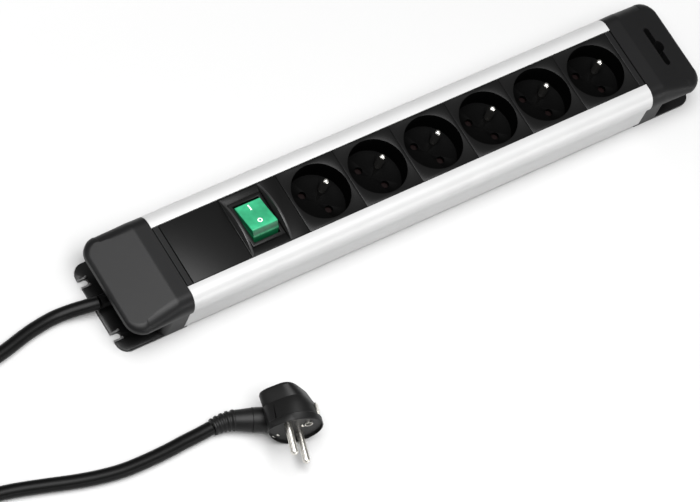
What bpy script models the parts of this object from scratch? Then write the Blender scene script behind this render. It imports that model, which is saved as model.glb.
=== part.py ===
"""Desk power strip: a six-way earthed strip with an illuminated rocker switch.

An aluminium extrusion carries a row of square plastic modules between two end caps, each cap standing on a
foot plate. X runs along the strip from the cord end (-X) to the hanger end (+X), +Z is up, and the origin is
the middle of the strip's underside. The mains cord leaves the -X end, is put away in a round coil and ends
in an angled two-pin plug that lies on the same surface.
"""

import math

import bmesh
import bpy
from mathutils import Matrix, Vector

MM = 0.001
GAP = 0.3 * MM                      # clearance left between neighbouring pieces
SLIVER = 1.0 * MM                   # how far a cutter overshoots the face that it opens

# Driving sizes of the strip
PITCH = 43.5 * MM                   # one module along X
MODULES = 8                         # blank, switch and six sockets
SOCKETS = 6
TOP = 38.5 * MM                     # height of the module faces above the ground
MODULE_HALF_WIDTH = 22.1 * MM
ROW_END = MODULES * PITCH / 2       # the row of modules spans -ROW_END to ROW_END
LIP = 4.8 * MM                      # the cap's tongue between the last module and the cap itself
BODY_END = ROW_END + LIP            # end of the aluminium
CAP_END = BODY_END + 44.0 * MM
FOOT_END = CAP_END + 1.0 * MM

# Extruded body, seen along X
SHOULDER_HALF_WIDTH = 35.1 * MM
SHOULDER_CENTRE = 26.0 * MM         # where the flat top turns into the rounded shoulder
SHOULDER_DROP = 11.0 * MM
LEDGE = TOP - 13.0 * MM             # underside of the overhanging shoulder
WALL_HALF_WIDTH = 33.3 * MM
BODY_BOTTOM = 2.3 * MM
BODY_WALL = 1.6 * MM
CHANNEL_HALF_WIDTH = MODULE_HALF_WIDTH + GAP
CHANNEL_DEPTH = 8.0 * MM

# End caps and feet
CREASE = BODY_END + 10.8 * MM       # the cap's top slopes down beyond this line
CAP_TIP_TOP = TOP - 8.5 * MM
CAP_HALF_WIDTH = 36.2 * MM          # at the tip, a little wider than at the body
CAP_WALL = 2.4 * MM
CAP_CORNER = 12.0 * MM
SKIRT_END = BODY_END + 17.2 * MM
SKIRT_WALL = 2.0 * MM
FOOT_THICKNESS = 2.0 * MM
FOOT_HALF_WIDTH = 33.0 * MM
FOOT_CORNER = 8.0 * MM
NOTCH_CENTRE = 20.3 * MM
NOTCH_WIDTH = 4.2 * MM
NOTCH_DEPTH = 5.5 * MM
SCREW_X = BODY_END + 8.7 * MM
SCREW_Y = 26.0 * MM
HANGER_X = BODY_END + 25.8 * MM
HANGER_LENGTH = 30.5 * MM
HANGER_WIDTH = 4.6 * MM
HANGER_HEAD_RADIUS = 4.4 * MM
COLLAR_LOW = 22.5 * MM               # the collar round the slot, under the hood
COLLAR_HIGH = 32.6 * MM

# Socket modules, type E: a 39.5 mm recess with a standing earth pin
RECESS_RADIUS = 19.75 * MM
RECESS_DEPTH = 15.0 * MM
RECESS_FLOOR = TOP - RECESS_DEPTH
SOCKET_UNDERSIDE = RECESS_FLOOR - 2.5 * MM
SOCKET_TURN = math.radians(35.0)    # the earth pin's direction from +X
PIN_CIRCLE = 9.5 * MM               # each pin hole's distance from the socket's centre
EARTH_CIRCLE = 10.0 * MM
PIN_RADIUS = 2.4 * MM
PIN_LENGTH = 19.0 * MM

# Rocker switch
SWITCH_X = -114.1 * MM
ROCKER_AXIS = TOP - 4.9 * MM
ROCKER_TILT = 14.0
BRIDGE_AXIS = 19.9 * MM
BRIDGE_TILT = 4.0
POLE_OFFSET = 5.0 * MM
FIXED_CONTACT_Y = -9.0 * MM

# Cord, coil and plug
CORD_RADIUS = 4.5 * MM
CORD_EXIT = Vector((-CAP_END - 0.2 * MM, 1.5 * MM, 10.0 * MM))
COIL_CENTRE = Vector((-400.0 * MM, -20.0 * MM, 0.0))
COIL_INNER = 40.6 * MM
COIL_OUTER = 59.0 * MM
COIL_BOTTOM = 1.1 * MM
COIL_TOP = 19.3 * MM
PLUG_FACE = Vector((-160.1 * MM, -129.8 * MM, 19.0 * MM))
PLUG_HEADING = math.radians(-108.5)     # the pins' direction on the ground, from +X
PLUG_LEAN = math.radians(37.0)          # how far the cord end of the plug points down
BOOT_BASE_RADIUS = 7.6 * MM
BOOT_TIP_RADIUS = 5.2 * MM
TIE_ANGLE = math.radians(150.0)

# The boot's middle line, in millimetres, from the plug's neck to where the bare cord leaves it
BOOT = [
    (-176.0, -108.2, 8.4),
    (-181.0, -105.9, 8.0),
    (-186.5, -103.2, 7.2),
    (-192.5, -101.6, 6.2),
    (-199.6, -101.2, 5.4),
]

# Conductors inside the strip
WIRE_RADIUS = 1.3 * MM
RAIL_START = SWITCH_X + 12.0 * MM
EARTH_START = -156.0 * MM
EARTH_LOW = 5.1 * MM
EARTH_HIGH = 5.8 * MM
WIRES = {
    "live_wire_in": [
        (-178.4, 0.0, 9.1), (-168.0, -3.5, 9.2), (-152.0, -6.0, 10.5), (-136.0, -4.0, 10.5),
        (-127.0, -1.0, 10.5), (-121.4, 0.0, 10.5),
    ],
    "neutral_wire_in": [
        (-178.4, 3.0, 9.1), (-168.0, 6.5, 9.2), (-152.0, 9.0, 10.5), (-130.0, 9.0, 10.5),
        (-115.0, 8.0, 10.5), (-110.0, 5.0, 10.5), (-109.1, 0.7, 10.5),
    ],
    "earth_wire": [
        (-178.4, 1.5, 11.8), (-172.0, 1.5, 13.0), (-163.0, 1.2, 13.0), (-154.5, 0.4, 11.0),
        (-152.0, 0.0, 8.5), (-152.0, 0.0, 6.1),
    ],
    "live_wire_out": [
        (-119.1, -9.7, 10.5), (-118.2, -13.0, 10.5), (-114.0, -15.4, 10.5), (-109.0, -15.0, 10.5),
        (-105.5, -13.3, 10.5), (-102.4, -12.8, 10.5),
    ],
    "neutral_wire_out": [
        (-106.8, -9.0, 10.5), (-103.0, -7.8, 10.5), (-100.2, -3.0, 10.5), (-98.4, 4.0, 10.5),
        (-98.0, 12.1, 10.5),
    ],
}

# The two free stretches of the cord, on the ground as they were laid
CORD_STRIP_SIDE = [
    (-223.7, 1.5, 10.0),
    (-230.0, 2.6, 9.4),
    (-238.0, 4.4, 7.6),
    (-246.0, 5.7, 5.7),
    (-254.0, 6.0, 4.8),
    (-262.0, 5.2, 4.6),
    (-270.0, 4.0, 4.6),
    (-279.0, 2.0, 4.6),
    (-288.0, -0.2, 4.6),
    (-298.0, -2.2, 4.6),
    (-308.0, -3.0, 4.6),
    (-318.0, -1.9, 4.6),
    (-328.0, 1.4, 4.6),
    (-336.0, 5.4, 4.6),
    (-343.4, 10.0, 4.6),
]
CORD_PLUG_SIDE = [
    (-383.2, -82.7, 7.5),
    (-371.0, -82.3, 5.4),
    (-359.0, -81.6, 4.6),
    (-348.0, -81.8, 4.6),
    (-337.0, -83.6, 4.6),
    (-326.0, -86.4, 4.6),
    (-311.5, -90.7, 4.6),
    (-297.0, -95.2, 4.6),
    (-282.0, -99.1, 4.6),
    (-267.0, -101.8, 4.6),
    (-255.8, -102.6, 4.6),
    (-244.4, -102.8, 4.6),
    (-232.5, -102.6, 4.6),
    (-220.0, -101.9, 4.6),
    (-209.5, -101.6, 4.8),
    (-200.7, -101.2, 5.3),
]

AXIS_X = Vector((1.0, 0.0, 0.0))
AXIS_Z = Vector((0.0, 0.0, 1.0))
# Outlines drawn in a plane are stood up with these: the third column is the direction of the extrusion
IN_XY = Matrix.Identity(4)
IN_YZ = Matrix(((0, 0, 1, 0), (1, 0, 0, 0), (0, 1, 0, 0), (0, 0, 0, 1)))
IN_XZ = Matrix(((1, 0, 0, 0), (0, 0, -1, 0), (0, 1, 0, 0), (0, 0, 0, 1)))


# ---------------------------------------------------------------- scene and materials

def clear_scene():
    for obj in list(bpy.data.objects):
        bpy.data.objects.remove(obj, do_unlink=True)


clear_scene()
PARTS = bpy.data.collections.new("desk_power_strip")
TOOLS = bpy.data.collections.new("cutters")
for collection in (PARTS, TOOLS):
    bpy.context.scene.collection.children.link(collection)


def make_material(name, colour, roughness, metallic=0.0):
    material = bpy.data.materials.new(name)
    material.use_nodes = True
    shader = material.node_tree.nodes["Principled BSDF"]
    shader.inputs["Base Color"].default_value = (*colour, 1.0)
    shader.inputs["Roughness"].default_value = roughness
    shader.inputs["Metallic"].default_value = metallic
    return material


ALUMINIUM = make_material("anodised_aluminium", (0.74, 0.75, 0.76), 0.35, 1.0)
CAP_PLASTIC = make_material("cap_plastic", (0.030, 0.031, 0.033), 0.5)
MODULE_PLASTIC = make_material("module_plastic", (0.022, 0.022, 0.023), 0.42)
FOOT_PLASTIC = make_material("foot_plastic", (0.008, 0.008, 0.009), 0.35)
NATURAL_PLASTIC = make_material("insulator_plastic", (0.62, 0.60, 0.55), 0.5)
SHUTTER_PLASTIC = make_material("shutter_plastic", (0.45, 0.02, 0.02), 0.4)
ROCKER_PLASTIC = make_material("rocker_plastic", (0.02, 0.55, 0.30), 0.25)
NICKEL = make_material("nickel_plate", (0.72, 0.70, 0.66), 0.25, 1.0)
BRASS = make_material("spring_brass", (0.72, 0.53, 0.24), 0.35, 1.0)
STEEL = make_material("zinc_steel", (0.60, 0.61, 0.62), 0.35, 1.0)
LAMP_GLASS = make_material("lamp_glass", (0.55, 0.85, 0.65), 0.1)
CORD_JACKET = make_material("cord_jacket", (0.015, 0.015, 0.016), 0.45)
PLUG_PLASTIC = make_material("plug_plastic", (0.025, 0.025, 0.026), 0.5)
LIVE_INSULATION = make_material("live_insulation", (0.22, 0.10, 0.05), 0.5)
NEUTRAL_INSULATION = make_material("neutral_insulation", (0.05, 0.16, 0.50), 0.5)
EARTH_INSULATION = make_material("earth_insulation", (0.28, 0.50, 0.06), 0.5)


# ---------------------------------------------------------------- modelling helpers

def add(name, mesh, material=None, collection=None):
    obj = bpy.data.objects.new(name, mesh)
    if material is not None:
        mesh.materials.append(material)
    (collection or PARTS).objects.link(obj)
    return obj


def mesh_from(name, bm):
    bmesh.ops.recalc_face_normals(bm, faces=bm.faces)
    mesh = bpy.data.meshes.new(name)
    bm.to_mesh(mesh)
    bm.free()
    return mesh


def smooth(obj, angle=35.0):
    obj.data.shade_smooth()
    obj.data.set_sharp_from_angle(angle=math.radians(angle))
    return obj


def as_tool(obj):
    """Make obj a cutter or joining shape, which is not a part itself."""
    for collection in list(obj.users_collection):
        collection.objects.unlink(obj)
    TOOLS.objects.link(obj)
    obj.hide_render = True
    obj.display_type = "WIRE"
    return obj


def combine(obj, tool, operation):
    modifier = obj.modifiers.new(operation.lower() + "_" + tool.name, "BOOLEAN")
    modifier.operation = operation
    modifier.object = as_tool(tool)
    return obj


def cut(obj, tool):
    return combine(obj, tool, "DIFFERENCE")


def unite(obj, tool):
    return combine(obj, tool, "UNION")


def keep_within(obj, tool):
    return combine(obj, tool, "INTERSECT")


def box(name, low, high, material=None):
    """A block between two corners, with its origin at its middle."""
    low = Vector(low)
    high = Vector(high)
    bm = bmesh.new()
    bmesh.ops.create_cube(bm, size=1.0)
    bmesh.ops.scale(bm, verts=bm.verts, vec=high - low)
    obj = add(name, mesh_from(name, bm), material)
    obj.location = (low + high) / 2
    return obj


def rod(name, start, end, radius, segments=16, material=None, end_radius=None):
    """A round bar or cone from start to end."""
    start = Vector(start)
    end = Vector(end)
    bm = bmesh.new()
    bmesh.ops.create_cone(
        bm, cap_ends=True, segments=segments, radius1=radius,
        radius2=radius if end_radius is None else end_radius, depth=(end - start).length,
    )
    obj = add(name, mesh_from(name, bm), material)
    obj.location = (start + end) / 2
    obj.rotation_euler = (end - start).to_track_quat("Z", "Y").to_euler()
    return smooth(obj)


def settle(curve_object):
    """Turn a curve object into a closed mesh object in the same place, its axes along the world's."""
    bpy.context.view_layer.update()
    graph = bpy.context.evaluated_depsgraph_get()
    mesh = bpy.data.meshes.new_from_object(curve_object.evaluated_get(graph))
    bm = bmesh.new()
    bm.from_mesh(mesh)
    bmesh.ops.remove_doubles(bm, verts=bm.verts, dist=1e-6)
    bmesh.ops.recalc_face_normals(bm, faces=bm.faces)
    bm.to_mesh(mesh)
    bm.free()
    mesh.transform(curve_object.matrix_world)
    name = curve_object.name
    bpy.data.objects.remove(curve_object, do_unlink=True)
    obj = bpy.data.objects.new(name, mesh)
    PARTS.objects.link(obj)
    return obj


def slab(name, loops, low, high, plane=IN_XY, material=None):
    """A flat outline, with any holes as further loops, made solid from low to high along its normal."""
    curve = bpy.data.curves.new(name, "CURVE")
    curve.dimensions = "2D"
    curve.fill_mode = "BOTH"
    curve.extrude = (high - low) / 2
    for loop in loops:
        spline = curve.splines.new("POLY")
        spline.points.add(len(loop) - 1)
        for point, (u, v) in zip(spline.points, loop):
            point.co = (u, v, 0.0, 1.0)
        spline.use_cyclic_u = True
    obj = bpy.data.objects.new(name, curve)
    PARTS.objects.link(obj)
    obj.matrix_world = plane @ Matrix.Translation((0.0, 0.0, (low + high) / 2))
    solid = settle(obj)
    if material is not None:
        solid.data.materials.clear()
        solid.data.materials.append(material)
    return solid


def loft(name, sections, material=None):
    """A solid through closed sections that all have the same number of points."""
    bm = bmesh.new()
    rings = [[bm.verts.new(point) for point in section] for section in sections]
    for near, far in zip(rings, rings[1:]):
        for i in range(len(near)):
            j = (i + 1) % len(near)
            bm.faces.new((near[i], near[j], far[j], far[i]))
    bm.faces.new(list(reversed(rings[0])))
    bm.faces.new(rings[-1])
    return smooth(add(name, mesh_from(name, bm), material))


def turned(name, profile, origin, axis, material, steps=20):
    """A body of revolution: profile lists (radius, height) from the top down the outer side.

    A profile that ends where it began makes a ring.
    """
    bm = bmesh.new()
    ring = profile[0] == profile[-1]
    points = [bm.verts.new((radius, 0.0, height)) for radius, height in (profile[:-1] if ring else profile)]
    if ring:
        points.append(points[0])
    for a, b in zip(points, points[1:]):
        bm.edges.new((a, b))
    mesh = bpy.data.meshes.new(name)
    bm.to_mesh(mesh)
    bm.free()
    obj = add(name, mesh, material)
    obj.location = origin
    obj.rotation_euler = Vector(axis).to_track_quat("Z", "Y").to_euler()
    screw = obj.modifiers.new("turn", "SCREW")
    screw.steps = steps
    screw.render_steps = steps
    screw.use_merge_vertices = True
    screw.merge_threshold = 1e-5
    screw.use_normal_calculate = False
    return smooth(obj)


def tube(name, points, radii, material, resolution=2):
    """A round tube along points; radii is one number or one for each point."""
    curve = bpy.data.curves.new(name, "CURVE")
    curve.dimensions = "3D"
    curve.bevel_depth = 1.0 * MM
    curve.bevel_resolution = resolution
    curve.use_fill_caps = True
    spline = curve.splines.new("POLY")
    spline.points.add(len(points) - 1)
    if not isinstance(radii, (list, tuple)):
        radii = [radii] * len(points)
    for point, place, radius in zip(spline.points, points, radii):
        point.co = (*place, 1.0)
        point.radius = radius / (1.0 * MM)
    obj = bpy.data.objects.new(name, curve)
    PARTS.objects.link(obj)
    curve.materials.append(material)
    return obj


def arc(centre, radii, start, end, count):
    """Points of an elliptical arc, angles in degrees."""
    points = []
    for i in range(count + 1):
        angle = math.radians(start + (end - start) * i / count)
        points.append((centre[0] + radii[0] * math.cos(angle), centre[1] + radii[1] * math.sin(angle)))
    return points


def circle(centre, radius, count):
    return arc(centre, (radius, radius), 0.0, 360.0, count)[:-1]


def smooth_route(points, spacing):
    """A Catmull-Rom curve through points given in millimetres, read off at an even spacing."""
    knots = [Vector(point) * MM for point in points]
    knots = [2 * knots[0] - knots[1]] + knots + [2 * knots[-1] - knots[-2]]
    fine = []
    for p0, p1, p2, p3 in zip(knots, knots[1:], knots[2:], knots[3:]):
        for step in range(12):
            t = step / 12
            fine.append(0.5 * (
                2 * p1 + (p2 - p0) * t + (2 * p0 - 5 * p1 + 4 * p2 - p3) * t ** 2
                + (3 * p1 - p0 - 3 * p2 + p3) * t ** 3
            ))
    fine.append(knots[-2])
    travelled = [0.0]
    for a, b in zip(fine, fine[1:]):
        travelled.append(travelled[-1] + (b - a).length)
    count = max(2, round(travelled[-1] / spacing))
    even = []
    for i in range(count + 1):
        target = travelled[-1] * i / count
        k = max(1, next((n for n, d in enumerate(travelled) if d >= target - 1e-9), len(fine) - 1))
        share = (target - travelled[k - 1]) / (travelled[k] - travelled[k - 1])
        even.append(fine[k - 1].lerp(fine[k], share))
    return even


def module_span(index):
    """X limits of module number index, counted from the cord end, with the clearance taken off."""
    start = -ROW_END + index * PITCH
    return start + GAP / 2, start + PITCH - GAP / 2


def socket_centre(index):
    return -ROW_END + (index + 2.5) * PITCH


# ---------------------------------------------------------------- extruded body

def body_half_section():
    """The extrusion's right half, from the middle of its underside round to the middle inside."""
    inner_wall = WALL_HALF_WIDTH - BODY_WALL
    shoulder = (SHOULDER_HALF_WIDTH - SHOULDER_CENTRE, SHOULDER_DROP)
    inner_shoulder = (shoulder[0] - BODY_WALL, shoulder[1] - BODY_WALL)
    centre = (SHOULDER_CENTRE, TOP - SHOULDER_DROP)
    outer = [
        (WALL_HALF_WIDTH - 1.0 * MM, BODY_BOTTOM),
        (WALL_HALF_WIDTH, BODY_BOTTOM + 1.0 * MM),
        (WALL_HALF_WIDTH, LEDGE - 0.8 * MM),
        (SHOULDER_HALF_WIDTH - 0.6 * MM, LEDGE),
        (SHOULDER_HALF_WIDTH, LEDGE + 0.8 * MM),
    ] + arc(centre, shoulder, 0.0, 90.0, 8)
    channel = [
        (CHANNEL_HALF_WIDTH, TOP),
        (CHANNEL_HALF_WIDTH, TOP - CHANNEL_DEPTH),
        (CHANNEL_HALF_WIDTH + BODY_WALL, TOP - CHANNEL_DEPTH),
        (CHANNEL_HALF_WIDTH + BODY_WALL, TOP - BODY_WALL),
    ]
    inner = arc(centre, inner_shoulder, 90.0, 0.0, 6) + [
        (inner_wall, LEDGE - 1.2 * MM),
        (inner_wall, BODY_BOTTOM + BODY_WALL),
    ]
    return outer + channel + inner


def build_body():
    half = body_half_section()
    other = [(-y, z) for y, z in reversed(half)]
    slab("aluminium_profile", [half + other], -BODY_END, BODY_END, IN_YZ, ALUMINIUM)
    tray_half = WALL_HALF_WIDTH - BODY_WALL - GAP
    tray_floor = BODY_BOTTOM + BODY_WALL + GAP
    thick = 0.7 * MM
    tray_top = SOCKET_UNDERSIDE - 2.0 * MM
    outline = [
        (-tray_half, tray_floor),
        (tray_half, tray_floor),
        (tray_half, tray_top),
        (tray_half - thick, tray_top),
        (tray_half - thick, tray_floor + thick),
        (thick - tray_half, tray_floor + thick),
        (thick - tray_half, tray_top),
        (-tray_half, tray_top),
    ]
    slab("insulator_tray", [outline], -ROW_END, ROW_END, IN_YZ, NATURAL_PLASTIC)


# ---------------------------------------------------------------- end caps and feet

def hood_section(x, inset, bottom):
    """The cap seen along X at a distance x from the strip's middle, inset mm inside its outer face."""
    along = max(0.0, (x - CREASE) / (CAP_END - CREASE))
    top = TOP + (CAP_TIP_TOP - TOP) * along - inset
    spread = (x - BODY_END) / (CAP_END - BODY_END)
    half = SHOULDER_HALF_WIDTH + (CAP_HALF_WIDTH - SHOULDER_HALF_WIDTH) * spread - inset
    across = 9.1 * MM + (5.0 * MM - 9.1 * MM) * along
    drop = SHOULDER_DROP + (3.2 * MM - SHOULDER_DROP) * along
    across -= inset / 2
    drop -= inset / 2
    right = arc((half - across, top - drop), (across, drop), 0.0, 90.0, 6)
    left = [(-y, z) for y, z in reversed(right)]
    return [(half, bottom)] + right + left + [(-half, bottom)]


def hood_solid(name, side, inset, start, bottom):
    stations = [start, CREASE, CREASE + 8 * MM, CREASE + 18 * MM, CAP_END - inset]
    sections = []
    for x in stations:
        sections.append([(side * x, y, z) for y, z in hood_section(x, inset, bottom)])
    solid = loft(name, sections, CAP_PLASTIC)
    corner = CAP_CORNER - inset
    end = CAP_END - inset
    half = CAP_HALF_WIDTH + SLIVER
    edge = CAP_HALF_WIDTH - inset
    plan = [(side * (start - SLIVER), -half), (side * (end - corner), -half)]
    plan += [(side * x, y) for x, y in arc((end - corner, corner - edge), (corner, corner), -90.0, 0.0, 7)]
    plan += [(side * x, y) for x, y in arc((end - corner, edge - corner), (corner, corner), 0.0, 90.0, 7)]
    plan += [(side * (end - corner), half), (side * (start - SLIVER), half)]
    return keep_within(solid, slab(name + "_plan", [plan], 0.0, TOP + SLIVER))


def skirt_outline(side, inset, start):
    half = WALL_HALF_WIDTH - inset
    end = SKIRT_END - inset
    corner = 5.0 * MM - inset
    right = [(side * start, -half)]
    right += [(side * x, y) for x, y in arc((end - corner, corner - half), (corner, corner), -90.0, 0.0, 4)]
    left = [(x, -y) for x, y in reversed(right)]
    return right + left


def boss(name, side, way):
    place = Vector((side * SCREW_X, way * SCREW_Y, 0.0))
    return rod(
        name, place + AXIS_Z * (FOOT_THICKNESS + GAP), place + AXIS_Z * (TOP - 1.2 * MM), 3.5 * MM, 12,
    )


def build_cap(side, label):
    start = BODY_END + GAP
    cap = hood_solid("end_cap_" + label, side, 0.0, start, LEDGE)
    cut(cap, hood_solid("hood_hollow_" + label, side, CAP_WALL, start - 2 * SLIVER, LEDGE - 2 * SLIVER))
    low = FOOT_THICKNESS + GAP
    skirt = slab("skirt_" + label, [skirt_outline(side, 0.0, start)], low, LEDGE + 2.5 * MM)
    cut(skirt, slab(
        "skirt_hollow_" + label, [skirt_outline(side, SKIRT_WALL, start - SLIVER)], 0.0, TOP,
    ))
    unite(cap, skirt)
    xs = sorted((side * (SKIRT_END - SKIRT_WALL), side * SKIRT_END))
    half = WALL_HALF_WIDTH - 4.0 * MM
    unite(cap, box("cap_bulkhead_" + label, (xs[0], -half, low), (xs[1], half, TOP - 3.4 * MM)))
    xs = sorted((side * (ROW_END + GAP), side * (BODY_END + 2.6 * MM)))
    tongue_half = MODULE_HALF_WIDTH
    unite(cap, box(
        "cap_tongue_" + label, (xs[0], -tongue_half, TOP - 2.2 * MM), (xs[1], tongue_half, TOP - 0.1 * MM),
    ))
    for way in (-1, 1):
        tag = label + ("_right" if way < 0 else "_left")
        unite(cap, boss("cap_boss_" + tag, side, way))
        place = Vector((side * SCREW_X, way * SCREW_Y, 0.0))
        cut(cap, rod("screw_bore_" + tag, place, place + AXIS_Z * 20 * MM, 1.7 * MM, 10))
    return cap


def hanger_shape(name, margin, low, high):
    """A long slot with a round widening on its outer side, for a screw head or a display peg.

    With a margin the same shape is the outside of the collar that stands round the slot, under the hood.
    """
    half = HANGER_WIDTH / 2 + margin
    end = HANGER_LENGTH / 2 - HANGER_WIDTH / 2
    head = HANGER_HEAD_RADIUS + margin
    reach = math.degrees(math.asin((1.0 * MM + margin) / head))
    outline = arc((HANGER_X, -end), (half, half), 180.0, 360.0, 6)
    middle = (HANGER_X + HANGER_WIDTH / 2 - 1.0 * MM, 0.0)
    outline += arc(middle, (head, head), reach - 90.0, 90.0 - reach, 10)
    outline += arc((HANGER_X, end), (half, half), 0.0, 180.0, 6)
    return slab(name, [outline], low, high)


def foot_outline(side):
    start = BODY_END - 2.6 * MM
    right = [(start, -FOOT_HALF_WIDTH)]
    corner = FOOT_CORNER
    right += arc((FOOT_END - corner, corner - FOOT_HALF_WIDTH), (corner, corner), -90.0, 0.0, 6)
    right += [
        (FOOT_END, -NOTCH_CENTRE - NOTCH_WIDTH / 2),
        (FOOT_END - NOTCH_DEPTH, -NOTCH_CENTRE - NOTCH_WIDTH / 2),
        (FOOT_END - NOTCH_DEPTH, -NOTCH_CENTRE + NOTCH_WIDTH / 2),
        (FOOT_END, -NOTCH_CENTRE + NOTCH_WIDTH / 2),
    ]
    left = [(x, -y) for x, y in reversed(right)]
    return [(side * x, y) for x, y in right + left]


def build_foot(side, label):
    foot = slab("foot_plate_" + label, [foot_outline(side)], 0.0, FOOT_THICKNESS, IN_XY, FOOT_PLASTIC)
    head_seat = 1.6 * MM
    for way in (-1, 1):
        tag = label + ("_right" if way < 0 else "_left")
        place = Vector((side * SCREW_X, way * SCREW_Y, 0.0))
        cut(foot, rod("foot_bore_" + tag, place - AXIS_Z * SLIVER, place + AXIS_Z * 4 * MM, 1.8 * MM, 10))
        cut(foot, rod("foot_sink_" + tag, place - AXIS_Z * SLIVER, place + AXIS_Z * head_seat, 3.2 * MM, 12))
        profile = [
            (0.0, 16.0 * MM),
            (1.4 * MM, 15.0 * MM),
            (1.4 * MM, head_seat - GAP),
            (2.9 * MM, head_seat - GAP),
            (2.9 * MM, 0.3 * MM),
            (0.0, 0.3 * MM),
        ]
        turned("cap_screw_" + tag, profile, place, AXIS_Z, STEEL, 10)


def build_ends():
    cord_cap = build_cap(-1, "cord")
    hanger_cap = build_cap(1, "hanger")
    unite(hanger_cap, hanger_shape("hanger_collar", 1.8 * MM, COLLAR_LOW, COLLAR_HIGH))
    cut(hanger_cap, hanger_shape("hanger_slot", 0.0, COLLAR_LOW - SLIVER, TOP + SLIVER))
    for side, label in ((-1, "cord"), (1, "hanger")):
        build_foot(side, label)
    hole = CORD_EXIT.copy()
    hole.x = 0.0
    neck = 6.4 * MM
    cut(cord_cap, rod(
        "grommet_hole",
        hole - AXIS_X * (SKIRT_END + SLIVER),
        hole - AXIS_X * (SKIRT_END - 5 * MM),
        neck,
        20,
    ))


# ---------------------------------------------------------------- cord entry

def build_cord_entry():
    """The tapered strain relief, the jacket's end inside the cap, and the clamp that holds it."""
    bore = CORD_RADIUS + GAP
    neck = 6.1 * MM
    flange = 7.6 * MM
    inner = -(SKIRT_END - SKIRT_WALL) + GAP     # the bulkhead's inner face, with clearance
    outer = -SKIRT_END - GAP
    tip = outer - 14.0 * MM
    mouth = -CAP_END + 0.5 * MM
    origin = Vector((0.0, CORD_EXIT.y, CORD_EXIT.z))
    profile = [
        (bore, inner + 2.0 * MM),
        (flange, inner + 2.0 * MM),
        (flange, inner),
        (neck, inner),
        (neck, outer),
        (flange, outer),
        (flange, outer - 2.0 * MM),
        (6.6 * MM, outer - 3.5 * MM),
        (5.5 * MM, tip),
        (bore, tip),
        (bore, inner + 2.0 * MM),
    ]
    turned("cord_strain_relief", profile, origin, AXIS_X, CORD_JACKET, 16)
    jacket_end = -BODY_END - 0.5 * MM
    tube(
        "cord_inner_end",
        [origin + AXIS_X * x for x in (mouth - GAP, (mouth + jacket_end) / 2, jacket_end)],
        CORD_RADIUS, CORD_JACKET,
    )
    middle = -SCREW_X + 2.5 * MM
    base = FOOT_THICKNESS + GAP
    saddle_top = CORD_EXIT.z + bore + 2.4 * MM
    half = 11.0 * MM
    y = CORD_EXIT.y
    arch = [(y - half, base), (y - bore, base)]
    arch += [(y + u, CORD_EXIT.z + v) for u, v in arc((0.0, 0.0), (bore, bore), 180.0, 0.0, 8)]
    arch += [(y + bore, base), (y + half, base), (y + half, saddle_top), (y - half, saddle_top)]
    clamp = slab("cord_clamp", [arch], middle - 4 * MM, middle + 4 * MM, IN_YZ, NATURAL_PLASTIC)
    place = Vector((middle, y + 8.2 * MM, saddle_top + GAP))
    cut(clamp, rod("clamp_bore", place - AXIS_Z * 16 * MM, place + AXIS_Z * SLIVER, 1.6 * MM, 10))
    profile = [
        (0.0, 1.8 * MM),
        (2.4 * MM, 1.8 * MM),
        (2.4 * MM, 0.0),
        (1.3 * MM, 0.0),
        (1.3 * MM, -12.0 * MM),
        (0.0, -13.0 * MM),
    ]
    turned("clamp_screw", profile, place, AXIS_Z, STEEL, 10)


# ---------------------------------------------------------------- modules in the channel

def build_blank():
    low, high = module_span(0)
    cover = box("blank_cover", (low, -MODULE_HALF_WIDTH, TOP - 7 * MM), (high, MODULE_HALF_WIDTH, TOP),
                MODULE_PLASTIC)
    rim = 2.0 * MM
    cut(cover, box(
        "blank_hollow",
        (low + rim, rim - MODULE_HALF_WIDTH, TOP - 7 * MM - SLIVER),
        (high - rim, MODULE_HALF_WIDTH - rim, TOP - rim),
    ))


def build_switch_frame():
    """The module round the rocker, with two arched ribs that guard it from being knocked."""
    low, high = module_span(1)
    frame = box("switch_frame", (low, -MODULE_HALF_WIDTH, TOP - 4 * MM), (high, MODULE_HALF_WIDTH, TOP),
                MODULE_PLASTIC)
    chord = 21.0 * MM
    rise = 6.5 * MM
    radius = (chord ** 2 + rise ** 2) / (2 * rise)
    sweep = math.degrees(math.asin(chord / radius))
    crown = arc((0.0, TOP + rise - radius), (radius, radius), 90.0 - sweep, 90.0 + sweep, 14)
    outline = crown + [(-chord, TOP - 2 * MM), (chord, TOP - 2 * MM)]
    for number, x in enumerate((low + 1.15 * MM, SWITCH_X + 13.6 * MM)):
        unite(frame, slab("guard_rib_%d" % number, [outline], x - 0.7 * MM, x + 0.7 * MM, IN_YZ))
    for name, half_x, half_y, bottom in (
        ("bezel_seat", 12.45, 16.35, TOP - 1.5 * MM),
        ("switch_hole", 11.4, 15.3, TOP - 6 * MM),
    ):
        cut(frame, box(
            name, (SWITCH_X - half_x * MM, -half_y * MM, bottom),
            (SWITCH_X + half_x * MM, half_y * MM, TOP + SLIVER),
        ))


def build_switch_body():
    housing_bottom = 16.0 * MM
    bezel_top = TOP - 0.1 * MM
    body = box(
        "switch_body", (SWITCH_X - 12.15 * MM, -16.05 * MM, bezel_top - 1.1 * MM),
        (SWITCH_X + 12.15 * MM, 16.05 * MM, bezel_top), MODULE_PLASTIC,
    )
    unite(body, box(
        "switch_housing", (SWITCH_X - 11.1 * MM, -15.0 * MM, housing_bottom),
        (SWITCH_X + 11.1 * MM, 15.0 * MM, bezel_top - 0.6 * MM),
    ))
    cut(body, box(
        "rocker_well", (SWITCH_X - 9.8 * MM, -13.7 * MM, housing_bottom - SLIVER),
        (SWITCH_X + 9.8 * MM, 13.7 * MM, TOP + SLIVER),
    ))
    axis = Vector((SWITCH_X, 0.0, ROCKER_AXIS))
    cut(body, rod("pivot_hole", axis - AXIS_X * 14 * MM, axis + AXIS_X * 14 * MM, 1.8 * MM, 12))


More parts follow.
